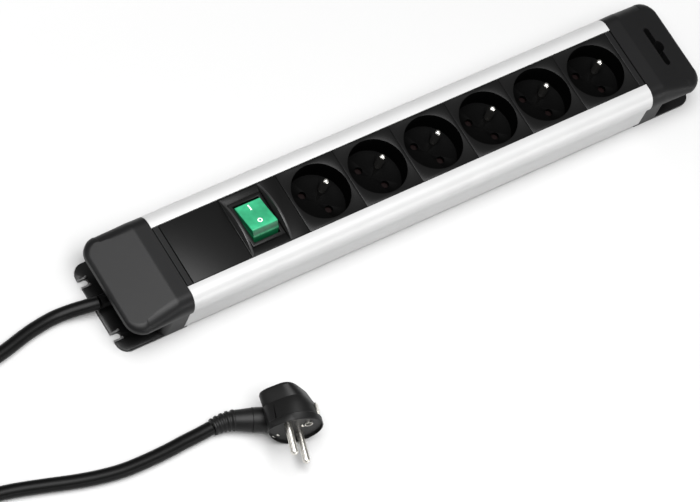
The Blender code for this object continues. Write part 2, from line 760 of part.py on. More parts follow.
def build_rocker():
    """Drawn level about its own axis, then set tilted to the position in which the switch is on."""
    right = [(-8.0, -6.5), (8.0, -6.5), (12.6, -2.5), (12.6, 3.5), (10.3, 8.7)]
    outline = [(y * MM, z * MM) for y, z in right + [(-10.3, 8.7), (-12.6, 3.5), (-12.6, -2.5)]]
    rocker = slab("rocker", [outline], -9.5 * MM, 9.5 * MM, IN_YZ, ROCKER_PLASTIC)
    bevel = rocker.modifiers.new("edges", "BEVEL")
    bevel.width = 0.5 * MM
    bevel.segments = 1
    bevel.limit_method = "ANGLE"
    tools = [rod("rocker_pivot", -AXIS_X * 10.6 * MM, AXIS_X * 10.6 * MM, 1.5 * MM, 12)]
    for way in (-1, 1):
        foot = Vector((way * POLE_OFFSET, 0.0, -13.0 * MM))
        tools.append(rod("plunger_%d" % way, foot, foot + AXIS_Z * 8 * MM, 1.5 * MM, 8))
    for tool in tools:
        unite(rocker, tool)
        tool.parent = rocker
    rocker.matrix_world = Matrix.Translation((SWITCH_X, 0.0, ROCKER_AXIS)) @ Matrix.Rotation(
        math.radians(-ROCKER_TILT), 4, "X")


def build_switch_inside():
    """The base with its four blades, the two see-saw contacts that the rocker tips, and the lamp."""
    blade_half = 2.0 * MM
    blade_thick = 0.4 * MM
    base_low = 13.5 * MM
    base_high = 15.7 * MM
    base = box(
        "switch_base",
        (SWITCH_X - 11.1 * MM, -15.0 * MM, base_low),
        (SWITCH_X + 11.1 * MM, 15.0 * MM, base_high),
        NATURAL_PLASTIC,
    )
    under_bridge = BRIDGE_AXIS - 0.4 * MM
    dip = math.sin(math.radians(BRIDGE_TILT)) * abs(FIXED_CONTACT_Y)
    for pole, way in (("live", -1), ("neutral", 1)):
        x = SWITCH_X + way * POLE_OFFSET
        blades = (
            ("in", 0.0, under_bridge - GAP),
            ("out", FIXED_CONTACT_Y, under_bridge - dip - GAP - 0.1 * MM),
        )
        for label, y, top in blades:
            name = pole + "_terminal_" + label
            low = (x - blade_half, y - blade_thick, 8.0 * MM)
            box(name, low, (x + blade_half, y + blade_thick, top), BRASS)
            room = GAP
            cut(base, box(
                name + "_slot", (x - blade_half - room, y - blade_thick - room, base_low - SLIVER),
                (x + blade_half + room, y + blade_thick + room, base_high + SLIVER),
            ))
        half = Vector((1.8, 10.5, 0.4)) * MM
        bridge = box(pole + "_bridge", -half, half, BRASS)
        bridge.location = (x, 0.0, BRIDGE_AXIS)
        bridge.rotation_euler.x = math.radians(BRIDGE_TILT)
    lamp_ends = [(SWITCH_X, way * 7 * MM, 18.2 * MM) for way in (-1, 1)]
    rod("indicator_lamp", *lamp_ends, 2.1 * MM, 10, LAMP_GLASS)


def socket_turned(x, radius, angle):
    return Vector((x + radius * math.cos(angle), radius * math.sin(angle), 0.0))


def build_sockets():
    """Six square modules, each with its recess, its standing earth pin and its child-safety shutter."""
    module_half = (PITCH - GAP) / 2
    holes = (
        (PIN_CIRCLE, SOCKET_TURN + math.pi / 2, 2.6 * MM),
        (PIN_CIRCLE, SOCKET_TURN - math.pi / 2, 2.6 * MM),
        (EARTH_CIRCLE, SOCKET_TURN, PIN_RADIUS + GAP),
    )
    pin_profile = [
        (0.0, TOP - 1.5 * MM),
        (1.2 * MM, TOP - 1.9 * MM),
        (2.1 * MM, TOP - 3.0 * MM),
        (PIN_RADIUS, TOP - 4.4 * MM),
        (PIN_RADIUS, SOCKET_UNDERSIDE - 1.0 * MM),
        (2.0 * MM, SOCKET_UNDERSIDE - 1.2 * MM),
        (2.0 * MM, 6.1 * MM),
        (0.0, 6.1 * MM),
    ]
    lobe = 3.6 * MM
    capsule = arc((PIN_CIRCLE, 0.0), (lobe, lobe), -90.0, 90.0, 6)
    capsule += arc((-PIN_CIRCLE, 0.0), (lobe, lobe), 90.0, 270.0, 6)
    for index in range(SOCKETS):
        tag = "_%d" % (index + 1)
        x = socket_centre(index)
        socket = box(
            "socket" + tag, (x - module_half, -MODULE_HALF_WIDTH, SOCKET_UNDERSIDE),
            (x + module_half, MODULE_HALF_WIDTH, TOP), MODULE_PLASTIC,
        )
        centre = Vector((x, 0.0, 0.0))
        cut(socket, rod(
            "recess" + tag,
            centre + AXIS_Z * RECESS_FLOOR,
            centre + AXIS_Z * (TOP + SLIVER),
            RECESS_RADIUS,
            36,
        ))
        for number, (reach, angle, radius) in enumerate(holes):
            place = socket_turned(x, reach, angle)
            cut(socket, rod(
                "hole%s_%d" % (tag, number), place + AXIS_Z * (SOCKET_UNDERSIDE - SLIVER),
                place + AXIS_Z * (RECESS_FLOOR + SLIVER), radius, 12,
            ))
        unite(socket, rod(
            "shutter_post" + tag, centre + AXIS_Z * (SOCKET_UNDERSIDE - 2.1 * MM),
            centre + AXIS_Z * (RECESS_FLOOR - 0.5 * MM), 1.2 * MM, 10,
        ))
        place = socket_turned(x, EARTH_CIRCLE, SOCKET_TURN)
        turned("earth_pin" + tag, pin_profile, place, AXIS_Z, NICKEL, 12)
        shutter = slab(
            "shutter" + tag, [capsule, circle((0.0, 0.0), 1.5 * MM, 10)], -1.0 * MM, 1.0 * MM, IN_XY,
            SHUTTER_PLASTIC,
        )
        shutter.location = (x, 0.0, SOCKET_UNDERSIDE - 1.4 * MM)
        shutter.rotation_euler.z = SOCKET_TURN + math.pi / 2


# ---------------------------------------------------------------- current-carrying pieces

def comb_outline(way):
    """A rail along X with one C-shaped contact for every socket, all bent from a single strip.

    way is 1 for the +Y rail, and -1 for the other one, which is the same shape turned half round.
    """
    thick = 0.8 * MM
    rail = 12.4 * MM
    grip = PIN_RADIUS + 0.2 * MM
    reach = 3.0 * MM
    limits = sorted((way * RAIL_START, way * (socket_centre(SOCKETS - 1) + 14 * MM)))
    pin = socket_turned(0.0, PIN_CIRCLE, SOCKET_TURN + math.pi / 2)
    outline = [(limits[0], rail)]
    for x in sorted(way * socket_centre(index) + pin.x for index in range(SOCKETS)):
        outline += [
            (x + reach, rail),
            (x + reach, pin.y + grip + thick),
            (x - reach, pin.y + grip + thick),
            (x - reach, pin.y + grip),
            (x + reach, pin.y + grip),
            (x + reach, pin.y - grip),
            (x - reach, pin.y - grip),
            (x - reach, pin.y - grip - thick),
            (x + reach + thick, pin.y - grip - thick),
            (x + reach + thick, rail),
        ]
    outline += [(limits[1], rail), (limits[1], rail + thick), (limits[0], rail + thick)]
    return [(way * x, way * y) for x, y in outline]


def earth_outline():
    """The strip under the sockets, with a tab below every earth pin."""
    half = 2.0 * MM
    tab = 2.4 * MM
    outline = [(EARTH_START, -half), (socket_centre(SOCKETS - 1) + 14 * MM, -half)]
    outline.append((outline[-1][0], half))
    for index in reversed(range(SOCKETS)):
        pin = socket_turned(socket_centre(index), EARTH_CIRCLE, SOCKET_TURN)
        outline += [
            (pin.x + tab, half),
            (pin.x + tab, pin.y + tab),
            (pin.x - tab, pin.y + tab),
            (pin.x - tab, half),
        ]
    return outline + [(EARTH_START, half)]


def build_busbars():
    low = 9.0 * MM
    high = SOCKET_UNDERSIDE - 3.0 * MM
    slab("live_busbar", [comb_outline(-1)], low, high, IN_XY, BRASS)
    slab("neutral_busbar", [comb_outline(1)], low, high, IN_XY, BRASS)
    slab("earth_busbar", [earth_outline()], EARTH_LOW, EARTH_HIGH, IN_XY, BRASS)


def build_wires():
    materials = {"live": LIVE_INSULATION, "neutral": NEUTRAL_INSULATION, "earth": EARTH_INSULATION}
    for name, points in WIRES.items():
        material = materials[name.split("_")[0]]
        tube(name, smooth_route(points, 3.0 * MM), WIRE_RADIUS, material, 1)


# ---------------------------------------------------------------- cord, coil and plug

def build_cord():
    """Two stretches lying on the ground and, between them, the turns as one ring held by a tie."""
    spacing = 15.0 * MM
    tube("cord_strip_side", smooth_route(CORD_STRIP_SIDE, spacing), CORD_RADIUS, CORD_JACKET)
    tube("cord_plug_side", smooth_route(CORD_PLUG_SIDE, spacing), CORD_RADIUS, CORD_JACKET)
    round_off = 3.0 * MM
    profile = [
        (COIL_OUTER - round_off, COIL_TOP),
        (COIL_OUTER, COIL_TOP - round_off),
        (COIL_OUTER, COIL_BOTTOM + round_off),
        (COIL_OUTER - round_off, COIL_BOTTOM),
        (COIL_INNER + round_off, COIL_BOTTOM),
        (COIL_INNER, COIL_BOTTOM + round_off),
        (COIL_INNER, COIL_TOP - round_off),
        (COIL_INNER + round_off, COIL_TOP),
        (COIL_OUTER - round_off, COIL_TOP),
    ]
    turned("cord_coil", profile, COIL_CENTRE, AXIS_Z, CORD_JACKET, 40)
    band = 0.8 * MM
    room = 0.6 * MM
    low = band
    high = COIL_TOP + GAP
    near = COIL_INNER - room
    far = COIL_OUTER + GAP
    outer = [(near - band, 0.0), (far + band, 0.0), (far + band, high + band), (near - band, high + band)]
    inner = [(near, low), (far, low), (far, high), (near, high)]
    plane = Matrix.Translation(COIL_CENTRE) @ Matrix.Rotation(TIE_ANGLE, 4, "Z") @ IN_XZ
    slab("coil_tie", [outer, inner], -4.0 * MM, 4.0 * MM, plane, CORD_JACKET)


def plug_axes():
    """The plug's own directions: out of its face, towards the cord, and across from pin to pin."""
    ahead = Vector((math.cos(PLUG_HEADING), math.sin(PLUG_HEADING), 0.0))
    side = AXIS_Z.cross(ahead)
    to_cord = -side * math.cos(PLUG_LEAN) - AXIS_Z * math.sin(PLUG_LEAN)
    return ahead, to_cord, ahead.cross(to_cord)


def plug_section(scale, depth):
    """Outline of the plug body, in the plane of its face: round, with a blunt end towards the cord."""
    ahead, to_cord, across = plug_axes()
    radius = 18.5 * MM
    flat = arc((0.0, 0.0), (radius, radius), 66.0, 294.0, 22)
    flat += [(u * MM, v * MM) for u, v in ((11.8, -14.6), (15.0, -11.0), (15.0, 11.0), (11.8, 14.6))]
    return [PLUG_FACE + ahead * depth + (to_cord * u + across * v) * scale for u, v in flat]


def build_plug():
    ahead, to_cord, across = plug_axes()
    shape = ((0.95, 0.0), (1.0, -1.0), (1.0, -4.5), (0.94, -5.3), (0.84, -18.0), (0.80, -27.0))
    body = loft("plug_body", [plug_section(scale, depth * MM) for scale, depth in shape], PLUG_PLASTIC)
    start = Vector(BOOT[0]) * MM
    towards = (Vector(BOOT[1]) * MM - start).normalized()
    unite(body, rod("plug_neck", start - towards * 13 * MM, start - towards * GAP, 7.8 * MM, 16))
    mouth = PLUG_FACE - to_cord * EARTH_CIRCLE
    cut(body, rod("plug_earth_mouth", mouth + ahead * SLIVER, mouth - ahead * 18 * MM, 2.7 * MM, 12))
    root = 8.0 * MM
    profile = [
        (0.0, PIN_LENGTH),
        (1.5 * MM, PIN_LENGTH - 0.3 * MM),
        (2.2 * MM, PIN_LENGTH - 1.2 * MM),
        (PIN_RADIUS, PIN_LENGTH - 2.6 * MM),
        (PIN_RADIUS, GAP - root),
        (0.0, GAP - root),
    ]
    for way, label in ((1, "upper"), (-1, "lower")):
        place = PLUG_FACE + across * way * PIN_CIRCLE
        cut(body, rod(
            "plug_bore_" + label, place + ahead * SLIVER, place - ahead * root, PIN_RADIUS + GAP, 12,
        ))
        turned("plug_pin_" + label, profile, place, ahead, NICKEL, 12)
    route = smooth_route(BOOT, 1.6 * MM)
    radii = []
    for number in range(len(route)):
        share = number / (len(route) - 1)
        rib = 0.5 * MM if number % 4 < 2 else 0.0
        radii.append(BOOT_BASE_RADIUS + (BOOT_TIP_RADIUS - BOOT_BASE_RADIUS) * share - rib)
    tube("plug_boot", route, radii, PLUG_PLASTIC)


def build_all():
    build_body()
    build_ends()
    build_cord_entry()
    build_blank()
    build_switch_frame()
    build_switch_body()
    build_rocker()
    build_switch_inside()
    build_sockets()
    build_busbars()
    build_wires()
    build_cord()
    build_plug()


build_all()
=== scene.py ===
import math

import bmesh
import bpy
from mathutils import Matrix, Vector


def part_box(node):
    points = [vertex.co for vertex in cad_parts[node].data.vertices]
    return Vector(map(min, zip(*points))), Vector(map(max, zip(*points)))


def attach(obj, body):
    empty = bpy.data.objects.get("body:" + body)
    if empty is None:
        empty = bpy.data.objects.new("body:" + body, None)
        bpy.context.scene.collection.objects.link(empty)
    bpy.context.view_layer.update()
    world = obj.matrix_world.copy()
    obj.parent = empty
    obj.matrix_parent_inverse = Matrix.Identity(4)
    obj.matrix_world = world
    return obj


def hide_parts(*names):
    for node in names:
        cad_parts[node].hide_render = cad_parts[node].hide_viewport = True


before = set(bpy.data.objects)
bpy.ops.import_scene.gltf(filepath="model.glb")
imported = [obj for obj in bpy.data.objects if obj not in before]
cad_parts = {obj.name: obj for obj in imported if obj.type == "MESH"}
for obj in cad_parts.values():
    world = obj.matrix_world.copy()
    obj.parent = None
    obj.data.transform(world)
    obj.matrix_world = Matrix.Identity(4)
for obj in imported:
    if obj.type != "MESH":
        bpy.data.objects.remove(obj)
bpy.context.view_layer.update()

# %% [markdown]
# # A desk power strip
#
# The strip is an aluminium extrusion that carries a row of black plastic modules: one blank, one with a lit
# rocker switch, and six sockets with a standing earth pin. Dark caps close its ends and overhang two foot
# plates, so that the cord can be tucked under them. The cord leaves one end, lies on the desk, and ends in
# an angled plug. The CAD model gives every piece's size and place. This scene gives each visible piece its
# finer shape, its edges and its finish.

MM = 0.001
SOCKETS = 6
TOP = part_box("blank_cover")[1].z            # the height of the module faces
LEDGE = TOP - 13.0 * MM                     # the underside of the body's overhanging shoulders
ROW_HALF_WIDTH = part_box("blank_cover")[1].y
BODY_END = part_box("aluminium_profile")[1].x
CAP_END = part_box("end_cap_hanger")[1].x
SOCKET_CENTRES = []
for number in range(1, SOCKETS + 1):
    low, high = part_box("socket_%d" % number)
    SOCKET_CENTRES.append((low.x + high.x) / 2)

# %% [markdown]
# ## The camera
#
# The picture is taken from high up on the near left side, through a long lens, so that the strip's edges
# stay almost parallel. The camera leans, which puts the strip on the picture's rising diagonal. A camera
# looks down its own -Z axis, so its rotation is built from the direction it looks in, and the lean is a
# turn about that.

# %% Aim the camera
CAMERA_LENS = 203.6                         # mm, on a sensor 36 mm wide
CAMERA_PLACE = Vector((-1.1525, -0.7650, 2.1472))
CAMERA_BEARING = math.radians(33.675)       # measured from +X
CAMERA_DIP = math.radians(58.353)
CAMERA_LEAN = math.radians(27.899)


def add_camera():
    data = bpy.data.cameras.new("camera")
    data.lens = CAMERA_LENS
    data.sensor_width = 36.0
    data.clip_end = 20.0
    camera = bpy.data.objects.new("camera", data)
    bpy.context.scene.collection.objects.link(camera)
    look = Vector((
        math.cos(CAMERA_DIP) * math.cos(CAMERA_BEARING),
        math.cos(CAMERA_DIP) * math.sin(CAMERA_BEARING),
        -math.sin(CAMERA_DIP),
    ))
    turn = look.to_track_quat("-Z", "Y").to_matrix().to_4x4()
    turn = turn @ Matrix.Rotation(CAMERA_LEAN, 4, "Z")
    camera.matrix_world = Matrix.Translation(CAMERA_PLACE) @ turn
    bpy.context.scene.camera = camera


add_camera()
print("Camera placed")

# %% [markdown]
# ## Finishes
#
# Nearly everything here is black or dark grey plastic, and what tells one piece from the next is its gloss
# and its grain. A moulded surface is never quite even: fine noise drives the roughness a little and a bump
# gives the grain. The aluminium is drawn lengthwise, so its noise is stretched along the strip. One
# function makes them all from a few numbers, which keeps the finishes easy to compare.

# %% A function that makes a finish
def make_finish(name, colour, roughness, metallic=0.0, grain=0.0, size=0.6 * MM,
                stretch=(1.0, 1.0, 1.0), uneven=0.05, tint=0.06, gloss=0.5):
    """A surface with fine grain: grain is the bump's height in mm, size is the width of one grain.

    gloss is how much the surface mirrors, with 0.5 for a clean plastic and less for a dull, sooty black one.
    """
    material = bpy.data.materials.new(name)
    material.use_nodes = True
    nodes = material.node_tree.nodes
    links = material.node_tree.links
    shader = nodes["Principled BSDF"]
    shader.inputs["Metallic"].default_value = metallic
    shader.inputs["Specular IOR Level"].default_value = gloss
    place = nodes.new("ShaderNodeTexCoord")
    mapping = nodes.new("ShaderNodeMapping")
    mapping.inputs["Scale"].default_value = [axis / size for axis in stretch]
    links.new(place.outputs["Object"], mapping.inputs["Vector"])
    noise = nodes.new("ShaderNodeTexNoise")
    noise.inputs["Scale"].default_value = 1.0
    noise.inputs["Detail"].default_value = 3.0
    links.new(mapping.outputs["Vector"], noise.inputs["Vector"])
    rough = nodes.new("ShaderNodeMapRange")
    rough.inputs["To Min"].default_value = roughness - uneven
    rough.inputs["To Max"].default_value = roughness + uneven
    links.new(noise.outputs["Fac"], rough.inputs["Value"])
    links.new(rough.outputs["Result"], shader.inputs["Roughness"])
    cloud = nodes.new("ShaderNodeTexNoise")
    cloud.inputs["Scale"].default_value = 45.0
    cloud.inputs["Detail"].default_value = 2.0
    links.new(place.outputs["Object"], cloud.inputs["Vector"])
    ramp = nodes.new("ShaderNodeValToRGB")
    ramp.color_ramp.elements[0].position = 0.3
    ramp.color_ramp.elements[0].color = (*[c * (1 - tint) for c in colour], 1.0)
    ramp.color_ramp.elements[1].position = 0.7
    ramp.color_ramp.elements[1].color = (*[min(1.0, c * (1 + tint)) for c in colour], 1.0)
    links.new(cloud.outputs["Fac"], ramp.inputs["Fac"])
    links.new(ramp.outputs["Color"], shader.inputs["Base Color"])
    if grain:
        bump = nodes.new("ShaderNodeBump")
        bump.inputs["Strength"].default_value = 0.6
        bump.inputs["Distance"].default_value = grain * MM
        links.new(noise.outputs["Fac"], bump.inputs["Height"])
        links.new(bump.outputs["Normal"], shader.inputs["Normal"])
    return material


# %% The finishes of this strip
DRAWN_ALUMINIUM = make_finish(
    "drawn_aluminium", (0.45, 0.45, 0.45), 0.42, 0.2,
    grain=0.01, size=0.25 * MM, stretch=(0.02, 1.0, 1.0), tint=0.02,
)
CAP_PLASTIC = make_finish(
    "cap_plastic", (0.005, 0.005, 0.0052), 0.42, grain=0.02, size=0.35 * MM, gloss=0.2)
MODULE_PLASTIC = make_finish(
    "module_plastic", (0.003, 0.003, 0.003), 0.36, grain=0.012, size=0.3 * MM, gloss=0.18)
# The recess finish is far darker and duller than the module plastic: painted shade inside the socket
# recesses.
RECESS_PAINTED_SHADE = make_finish("recess_painted_shade", (0.0006, 0.0006, 0.0006), 0.5, size=0.3 * MM, gloss=0.03)
BEZEL_PLASTIC = make_finish(
    "bezel_plastic", (0.003, 0.003, 0.003), 0.36, grain=0.01, size=0.3 * MM, gloss=0.2)
FOOT_PLASTIC = make_finish("foot_plastic", (0.003, 0.003, 0.003), 0.3, grain=0.01, size=0.5 * MM, gloss=0.3)
RIB_PLASTIC = make_finish("rib_plastic", (0.016, 0.016, 0.016), 0.35, size=0.3 * MM)
# The fins are moulded with the near-black foot but made a lighter grey: painted light on their lit edges.
FIN_PAINTED_LIGHT = make_finish("fin_painted_light", (0.10, 0.10, 0.10), 0.4, size=0.5 * MM)
NICKEL = make_finish("nickel", (0.80, 0.78, 0.74), 0.22, 1.0, tint=0.03, uneven=0.04)
PIN_NICKEL = make_finish("pin_nickel", (0.70, 0.68, 0.63), 0.28, 1.0, tint=0.05, uneven=0.06)
SPRING_BRASS = make_finish("spring_brass", (0.72, 0.52, 0.22), 0.35, 1.0, tint=0.08)
ZINC_STEEL = make_finish("zinc_steel", (0.58, 0.59, 0.60), 0.38, 1.0, tint=0.05)
SHUTTER_RED = make_finish("shutter_red", (0.0035, 0.0012, 0.0012), 0.4, grain=0.01, gloss=0.1)
NATURAL_PLASTIC = make_finish("natural_plastic", (0.62, 0.59, 0.52), 0.5, grain=0.01)
CORD_JACKET = make_finish(
    "cord_jacket", (0.0012, 0.0012, 0.0012), 0.38, grain=0.015, size=0.5 * MM, gloss=0.12)
PLUG_PLASTIC = make_finish("plug_plastic", (0.004, 0.004, 0.004), 0.45, grain=0.03, size=0.5 * MM, gloss=0.2)
LIVE_INSULATION = make_finish("live_insulation", (0.20, 0.09, 0.04), 0.45)
NEUTRAL_INSULATION = make_finish("neutral_insulation", (0.04, 0.13, 0.45), 0.45)
EARTH_INSULATION = make_finish("earth_insulation", (0.30, 0.46, 0.05), 0.45, tint=0.4)
MARK_WHITE = make_finish("mark_white", (0.85, 0.88, 0.85), 0.4)
print("%d finishes" % len(bpy.data.materials))

# %% [markdown]
# ## Tools for shapes
#
# Most of the pieces are mouldings, stampings or turned parts, so a few ways of making a solid cover them. A
# flat outline is drawn as a curve and given a thickness. A turned part is a profile swept round an axis. A
# loft joins sections of unlike size. What they all need is a small bevel: no real edge is perfectly sharp,
# and the thin bright line that a rounded edge catches is what makes a moulding look real.

# %% Placing, softening and rounding
IN_XY = Matrix.Identity(4)
IN_YZ = Matrix(((0, 0, 1, 0), (1, 0, 0, 0), (0, 1, 0, 0), (0, 0, 0, 1)))
IN_XZ = Matrix(((1, 0, 0, 0), (0, 0, -1, 0), (0, 1, 0, 0), (0, 0, 0, 1)))


def new_piece(name, mesh, finish=None):
    piece = bpy.data.objects.new(name, mesh)
    bpy.context.scene.collection.objects.link(piece)
    if finish is not None:
        mesh.materials.clear()
        mesh.materials.append(finish)
    return piece


def piece_from(name, bm, finish):
    bmesh.ops.recalc_face_normals(bm, faces=bm.faces)
    mesh = bpy.data.meshes.new(name)
    bm.to_mesh(mesh)
    bm.free()
    return new_piece(name, mesh, finish)


def soften(piece, angle=30.0):
    piece.data.shade_smooth()
    piece.data.set_sharp_from_angle(angle=math.radians(angle))
    return piece


def settle(piece):
    """Apply a piece's modifiers and its placing to its mesh."""
    bpy.context.view_layer.update()
    graph = bpy.context.evaluated_depsgraph_get()
    mesh = bpy.data.meshes.new_from_object(piece.evaluated_get(graph))
    mesh.transform(piece.matrix_world)
    name = piece.name
    bpy.data.objects.remove(piece, do_unlink=True)
    return new_piece(name, mesh)


def round_edges(piece, width=0.4 * MM, segments=2, angle=35.0):
    bevel = piece.modifiers.new("edges", "BEVEL")
    bevel.width = width
    bevel.segments = segments
    bevel.limit_method = "ANGLE"
    bevel.angle_limit = math.radians(angle)
    return soften(settle(piece))


print("Placing and softening ready")

# %% [markdown]
# A shape can be cut by another or grown together with it. Blender calls both a boolean. The tool is thrown
# away afterwards, so that only the finished piece is left in the scene.

# %% Cutting one shape with another
def combine(piece, tool, operation="DIFFERENCE"):
    """Cut tool out of piece, or join it on, and throw tool away."""
    modifier = piece.modifiers.new("combine", "BOOLEAN")
    modifier.operation = operation
    modifier.object = tool
    modifier.solver = "EXACT"
    finish = piece.data.materials[0]
    settled = settle(piece)
    bpy.data.objects.remove(tool, do_unlink=True)
    settled.data.materials.clear()
    settled.data.materials.append(finish)
    for polygon in settled.data.polygons:
        polygon.material_index = 0
    return settled


print("Cutting ready")

# %% [markdown]
# Each maker of a solid below takes a few sizes and gives back a piece in its place: a block from two
# corners, a slab from outlines, a loft through sections, and a turned part from its profile.

# %% Blocks, slabs, lofts and turned parts
def block(name, low, high, finish=None):
    bm = bmesh.new()
    bmesh.ops.create_cube(bm, size=1.0)
    size = Vector(high) - Vector(low)
    middle = (Vector(high) + Vector(low)) / 2
    bmesh.ops.transform(bm, matrix=Matrix.LocRotScale(middle, None, size), verts=bm.verts)
    return piece_from(name, bm, finish)


def slab(name, loops, low, high, plane=IN_XY, finish=None):
    """A flat outline, with further loops as holes, made solid from low to high along the plane's normal."""
    curve = bpy.data.curves.new(name, "CURVE")
    curve.dimensions = "2D"
    curve.fill_mode = "BOTH"
    curve.extrude = (high - low) / 2
    for loop in loops:
        spline = curve.splines.new("POLY")
        spline.points.add(len(loop) - 1)
        for point, (u, v) in zip(spline.points, loop):
            point.co = (u, v, 0.0, 1.0)
        spline.use_cyclic_u = True
    drawn = bpy.data.objects.new(name, curve)
    bpy.context.scene.collection.objects.link(drawn)
    drawn.matrix_world = plane @ Matrix.Translation((0.0, 0.0, (low + high) / 2))
    solid = settle(drawn)
    bm = bmesh.new()
    bm.from_mesh(solid.data)
    bmesh.ops.remove_doubles(bm, verts=bm.verts, dist=1e-6)
    bmesh.ops.recalc_face_normals(bm, faces=bm.faces)
    bm.to_mesh(solid.data)
    bm.free()
    solid.data.materials.clear()
    if finish is not None:
        solid.data.materials.append(finish)
    return solid


def loft(name, sections, finish):
    """A closed solid through sections that all have the same number of points."""
    bm = bmesh.new()
    rings = [[bm.verts.new(point) for point in section] for section in sections]
    for near, far in zip(rings, rings[1:]):
        for i in range(len(near)):
            j = (i + 1) % len(near)
            bm.faces.new((near[i], near[j], far[j], far[i]))
    bm.faces.new(list(reversed(rings[0])))
    bm.faces.new(rings[-1])
    return soften(piece_from(name, bm, finish))


def turned(name, profile, origin, axis, finish, steps=48):
    """Sweep a profile of (radius, height) points round an axis. One that ends where it began is a ring."""
    bm = bmesh.new()
    points = [bm.verts.new((radius, 0.0, height)) for radius, height in profile]
    edges = [bm.edges.new(pair) for pair in zip(points, points[1:])]
    bmesh.ops.spin(
        bm, geom=points + edges, cent=(0.0, 0.0, 0.0), axis=(0.0, 0.0, 1.0), angle=math.tau, steps=steps,
        use_merge=True,
    )
    bmesh.ops.remove_doubles(bm, verts=bm.verts, dist=1e-6)
    turn = Vector(axis).to_track_quat("Z", "Y").to_matrix().to_4x4()
    bmesh.ops.transform(bm, matrix=Matrix.Translation(origin) @ turn, verts=bm.verts)
    return soften(piece_from(name, bm, finish))


def rod(name, start, end, radius, finish=None, steps=32):
    start = Vector(start)
    end = Vector(end)
    length = (end - start).length
    profile = [(0.0, length), (radius, length), (radius, 0.0), (0.0, 0.0)]
    return turned(name, profile, start, end - start, finish, steps)


def arc(centre, radii, start, end, count):
    points = []
    for i in range(count + 1):
        angle = math.radians(start + (end - start) * i / count)
        points.append((centre[0] + radii[0] * math.cos(angle), centre[1] + radii[1] * math.sin(angle)))
    return points


print("Solids ready")

# %% [markdown]
# Every finished piece has to say which moving body it rides on and which CAD nodes it takes the place of.
# Pieces that are moulded or assembled as one, such as a foot and its fins, are first brought into one mesh.

# %% Riding on a body, and joining pieces
def stands_for(piece, body, *nodes, slot=None):
    """The piece rides on a body and takes the place of CAD nodes."""
    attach(piece, body)
    if nodes:
        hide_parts(*nodes)
    return piece


def join(name, pieces):
    """Several separate bodies kept in one mesh, as one piece, each with its own finish."""
    finishes = []
    bm = bmesh.new()
    for piece in pieces:
        finish = piece.data.materials[0]
        if finish not in finishes:
            finishes.append(finish)
        bpy.context.view_layer.update()
        copy = piece.data.copy()
        copy.transform(piece.matrix_world)
        copy.polygons.foreach_set("material_index", [finishes.index(finish)] * len(copy.polygons))
        bm.from_mesh(copy)
        bpy.data.meshes.remove(copy)
        bpy.data.objects.remove(piece, do_unlink=True)
    mesh = bpy.data.meshes.new(name)
    bm.to_mesh(mesh)
    bm.free()
    joined = new_piece(name, mesh)
    for finish in finishes:
        mesh.materials.append(finish)
    return soften(joined)


print("Joining ready")

# %% [markdown]
# ## The cord
#
# The mains lead is a 9 mm rubbery tube, a metre and a half long. It comes out of the cap's strain relief,
# drops to the desk and runs on to where its spare length is put away as a round coil under a tie, and from
# there to the plug. One curve follows all of it. The free stretches are points listed along the way it
# lies, and the turns of the coil come from a loop: the radius and height change slowly from one layer to
# the next, so that the turns lie beside and on each other a diameter apart.

# %% The cord's route
CORD_RADIUS = 4.5 * MM
CORD_EXIT = Vector((-222.6, 1.5, 10.0)) * MM
STRIP_SIDE = [
    (-223.7, 1.5, 10.0), (-230.0, 2.6, 9.4), (-238.0, 4.4, 7.6), (-246.0, 5.7, 5.7), (-254.0, 6.0, 4.8),
    (-262.0, 5.2, 4.6), (-270.0, 4.0, 4.6), (-279.0, 2.0, 4.6), (-288.0, -0.2, 4.6), (-298.0, -2.2, 4.6),
    (-308.0, -3.0, 4.6), (-318.0, -1.9, 4.6), (-328.0, 1.4, 4.6), (-336.0, 5.4, 4.6),
]
PLUG_SIDE = [
    (-371.0, -82.3, 5.4), (-359.0, -81.6, 4.6), (-348.0, -81.8, 4.6), (-337.0, -83.6, 4.6),
    (-326.0, -86.4, 4.6), (-311.5, -90.7, 4.6), (-297.0, -95.2, 4.6), (-282.0, -99.1, 4.6),
    (-267.0, -101.8, 4.6), (-255.8, -102.6, 4.6), (-244.4, -102.8, 4.6), (-232.5, -102.6, 4.6),
    (-220.0, -101.9, 4.6), (-209.5, -101.6, 4.8), (-200.7, -101.2, 5.3),
]
COIL_CENTRE = Vector((-400.0, -20.0, 0.0)) * MM
OUTER_TURN = 54.1
INNER_TURN = 45.1
LAYER = 9.1


def ease(value, start, end):
    """Rises smoothly from 0 to 1 between start and end."""
    share = min(1.0, max(0.0, (value - start) / (end - start)))
    return share * share * (3 - 2 * share)


def coil_turns():
    """The outer and the inner turn on the desk, then the inner and most of the outer on top of them."""
    points = []
    first = 27.9
    last = 3 * 360.0 + 285.0
    count = round((last - first) / 15.0)
    step = OUTER_TURN - INNER_TURN
    for i in range(count + 1):
        angle = first + (last - first) * i / count
        arrival = max(0.0, 1.0 - (angle - first) / 31.0)
        departure = max(0.0, (angle - last + 60.0) / 60.0)
        radius = OUTER_TURN + 10.0 * arrival ** 2 - step * ease(angle, 320.0, 420.0)
        radius += step * ease(angle, 960.0, 1060.0) + 10.8 * departure ** 1.5
        height = 4.6 + 0.8 * ease(angle, first, 120.0) + LAYER * ease(angle, 670.0, 748.0)
        height -= 7.0 * departure ** 3
        turn = math.radians(angle)
        points.append((
            COIL_CENTRE.x / MM + radius * math.cos(turn),
            COIL_CENTRE.y / MM + radius * math.sin(turn),
            height,
        ))
    return points


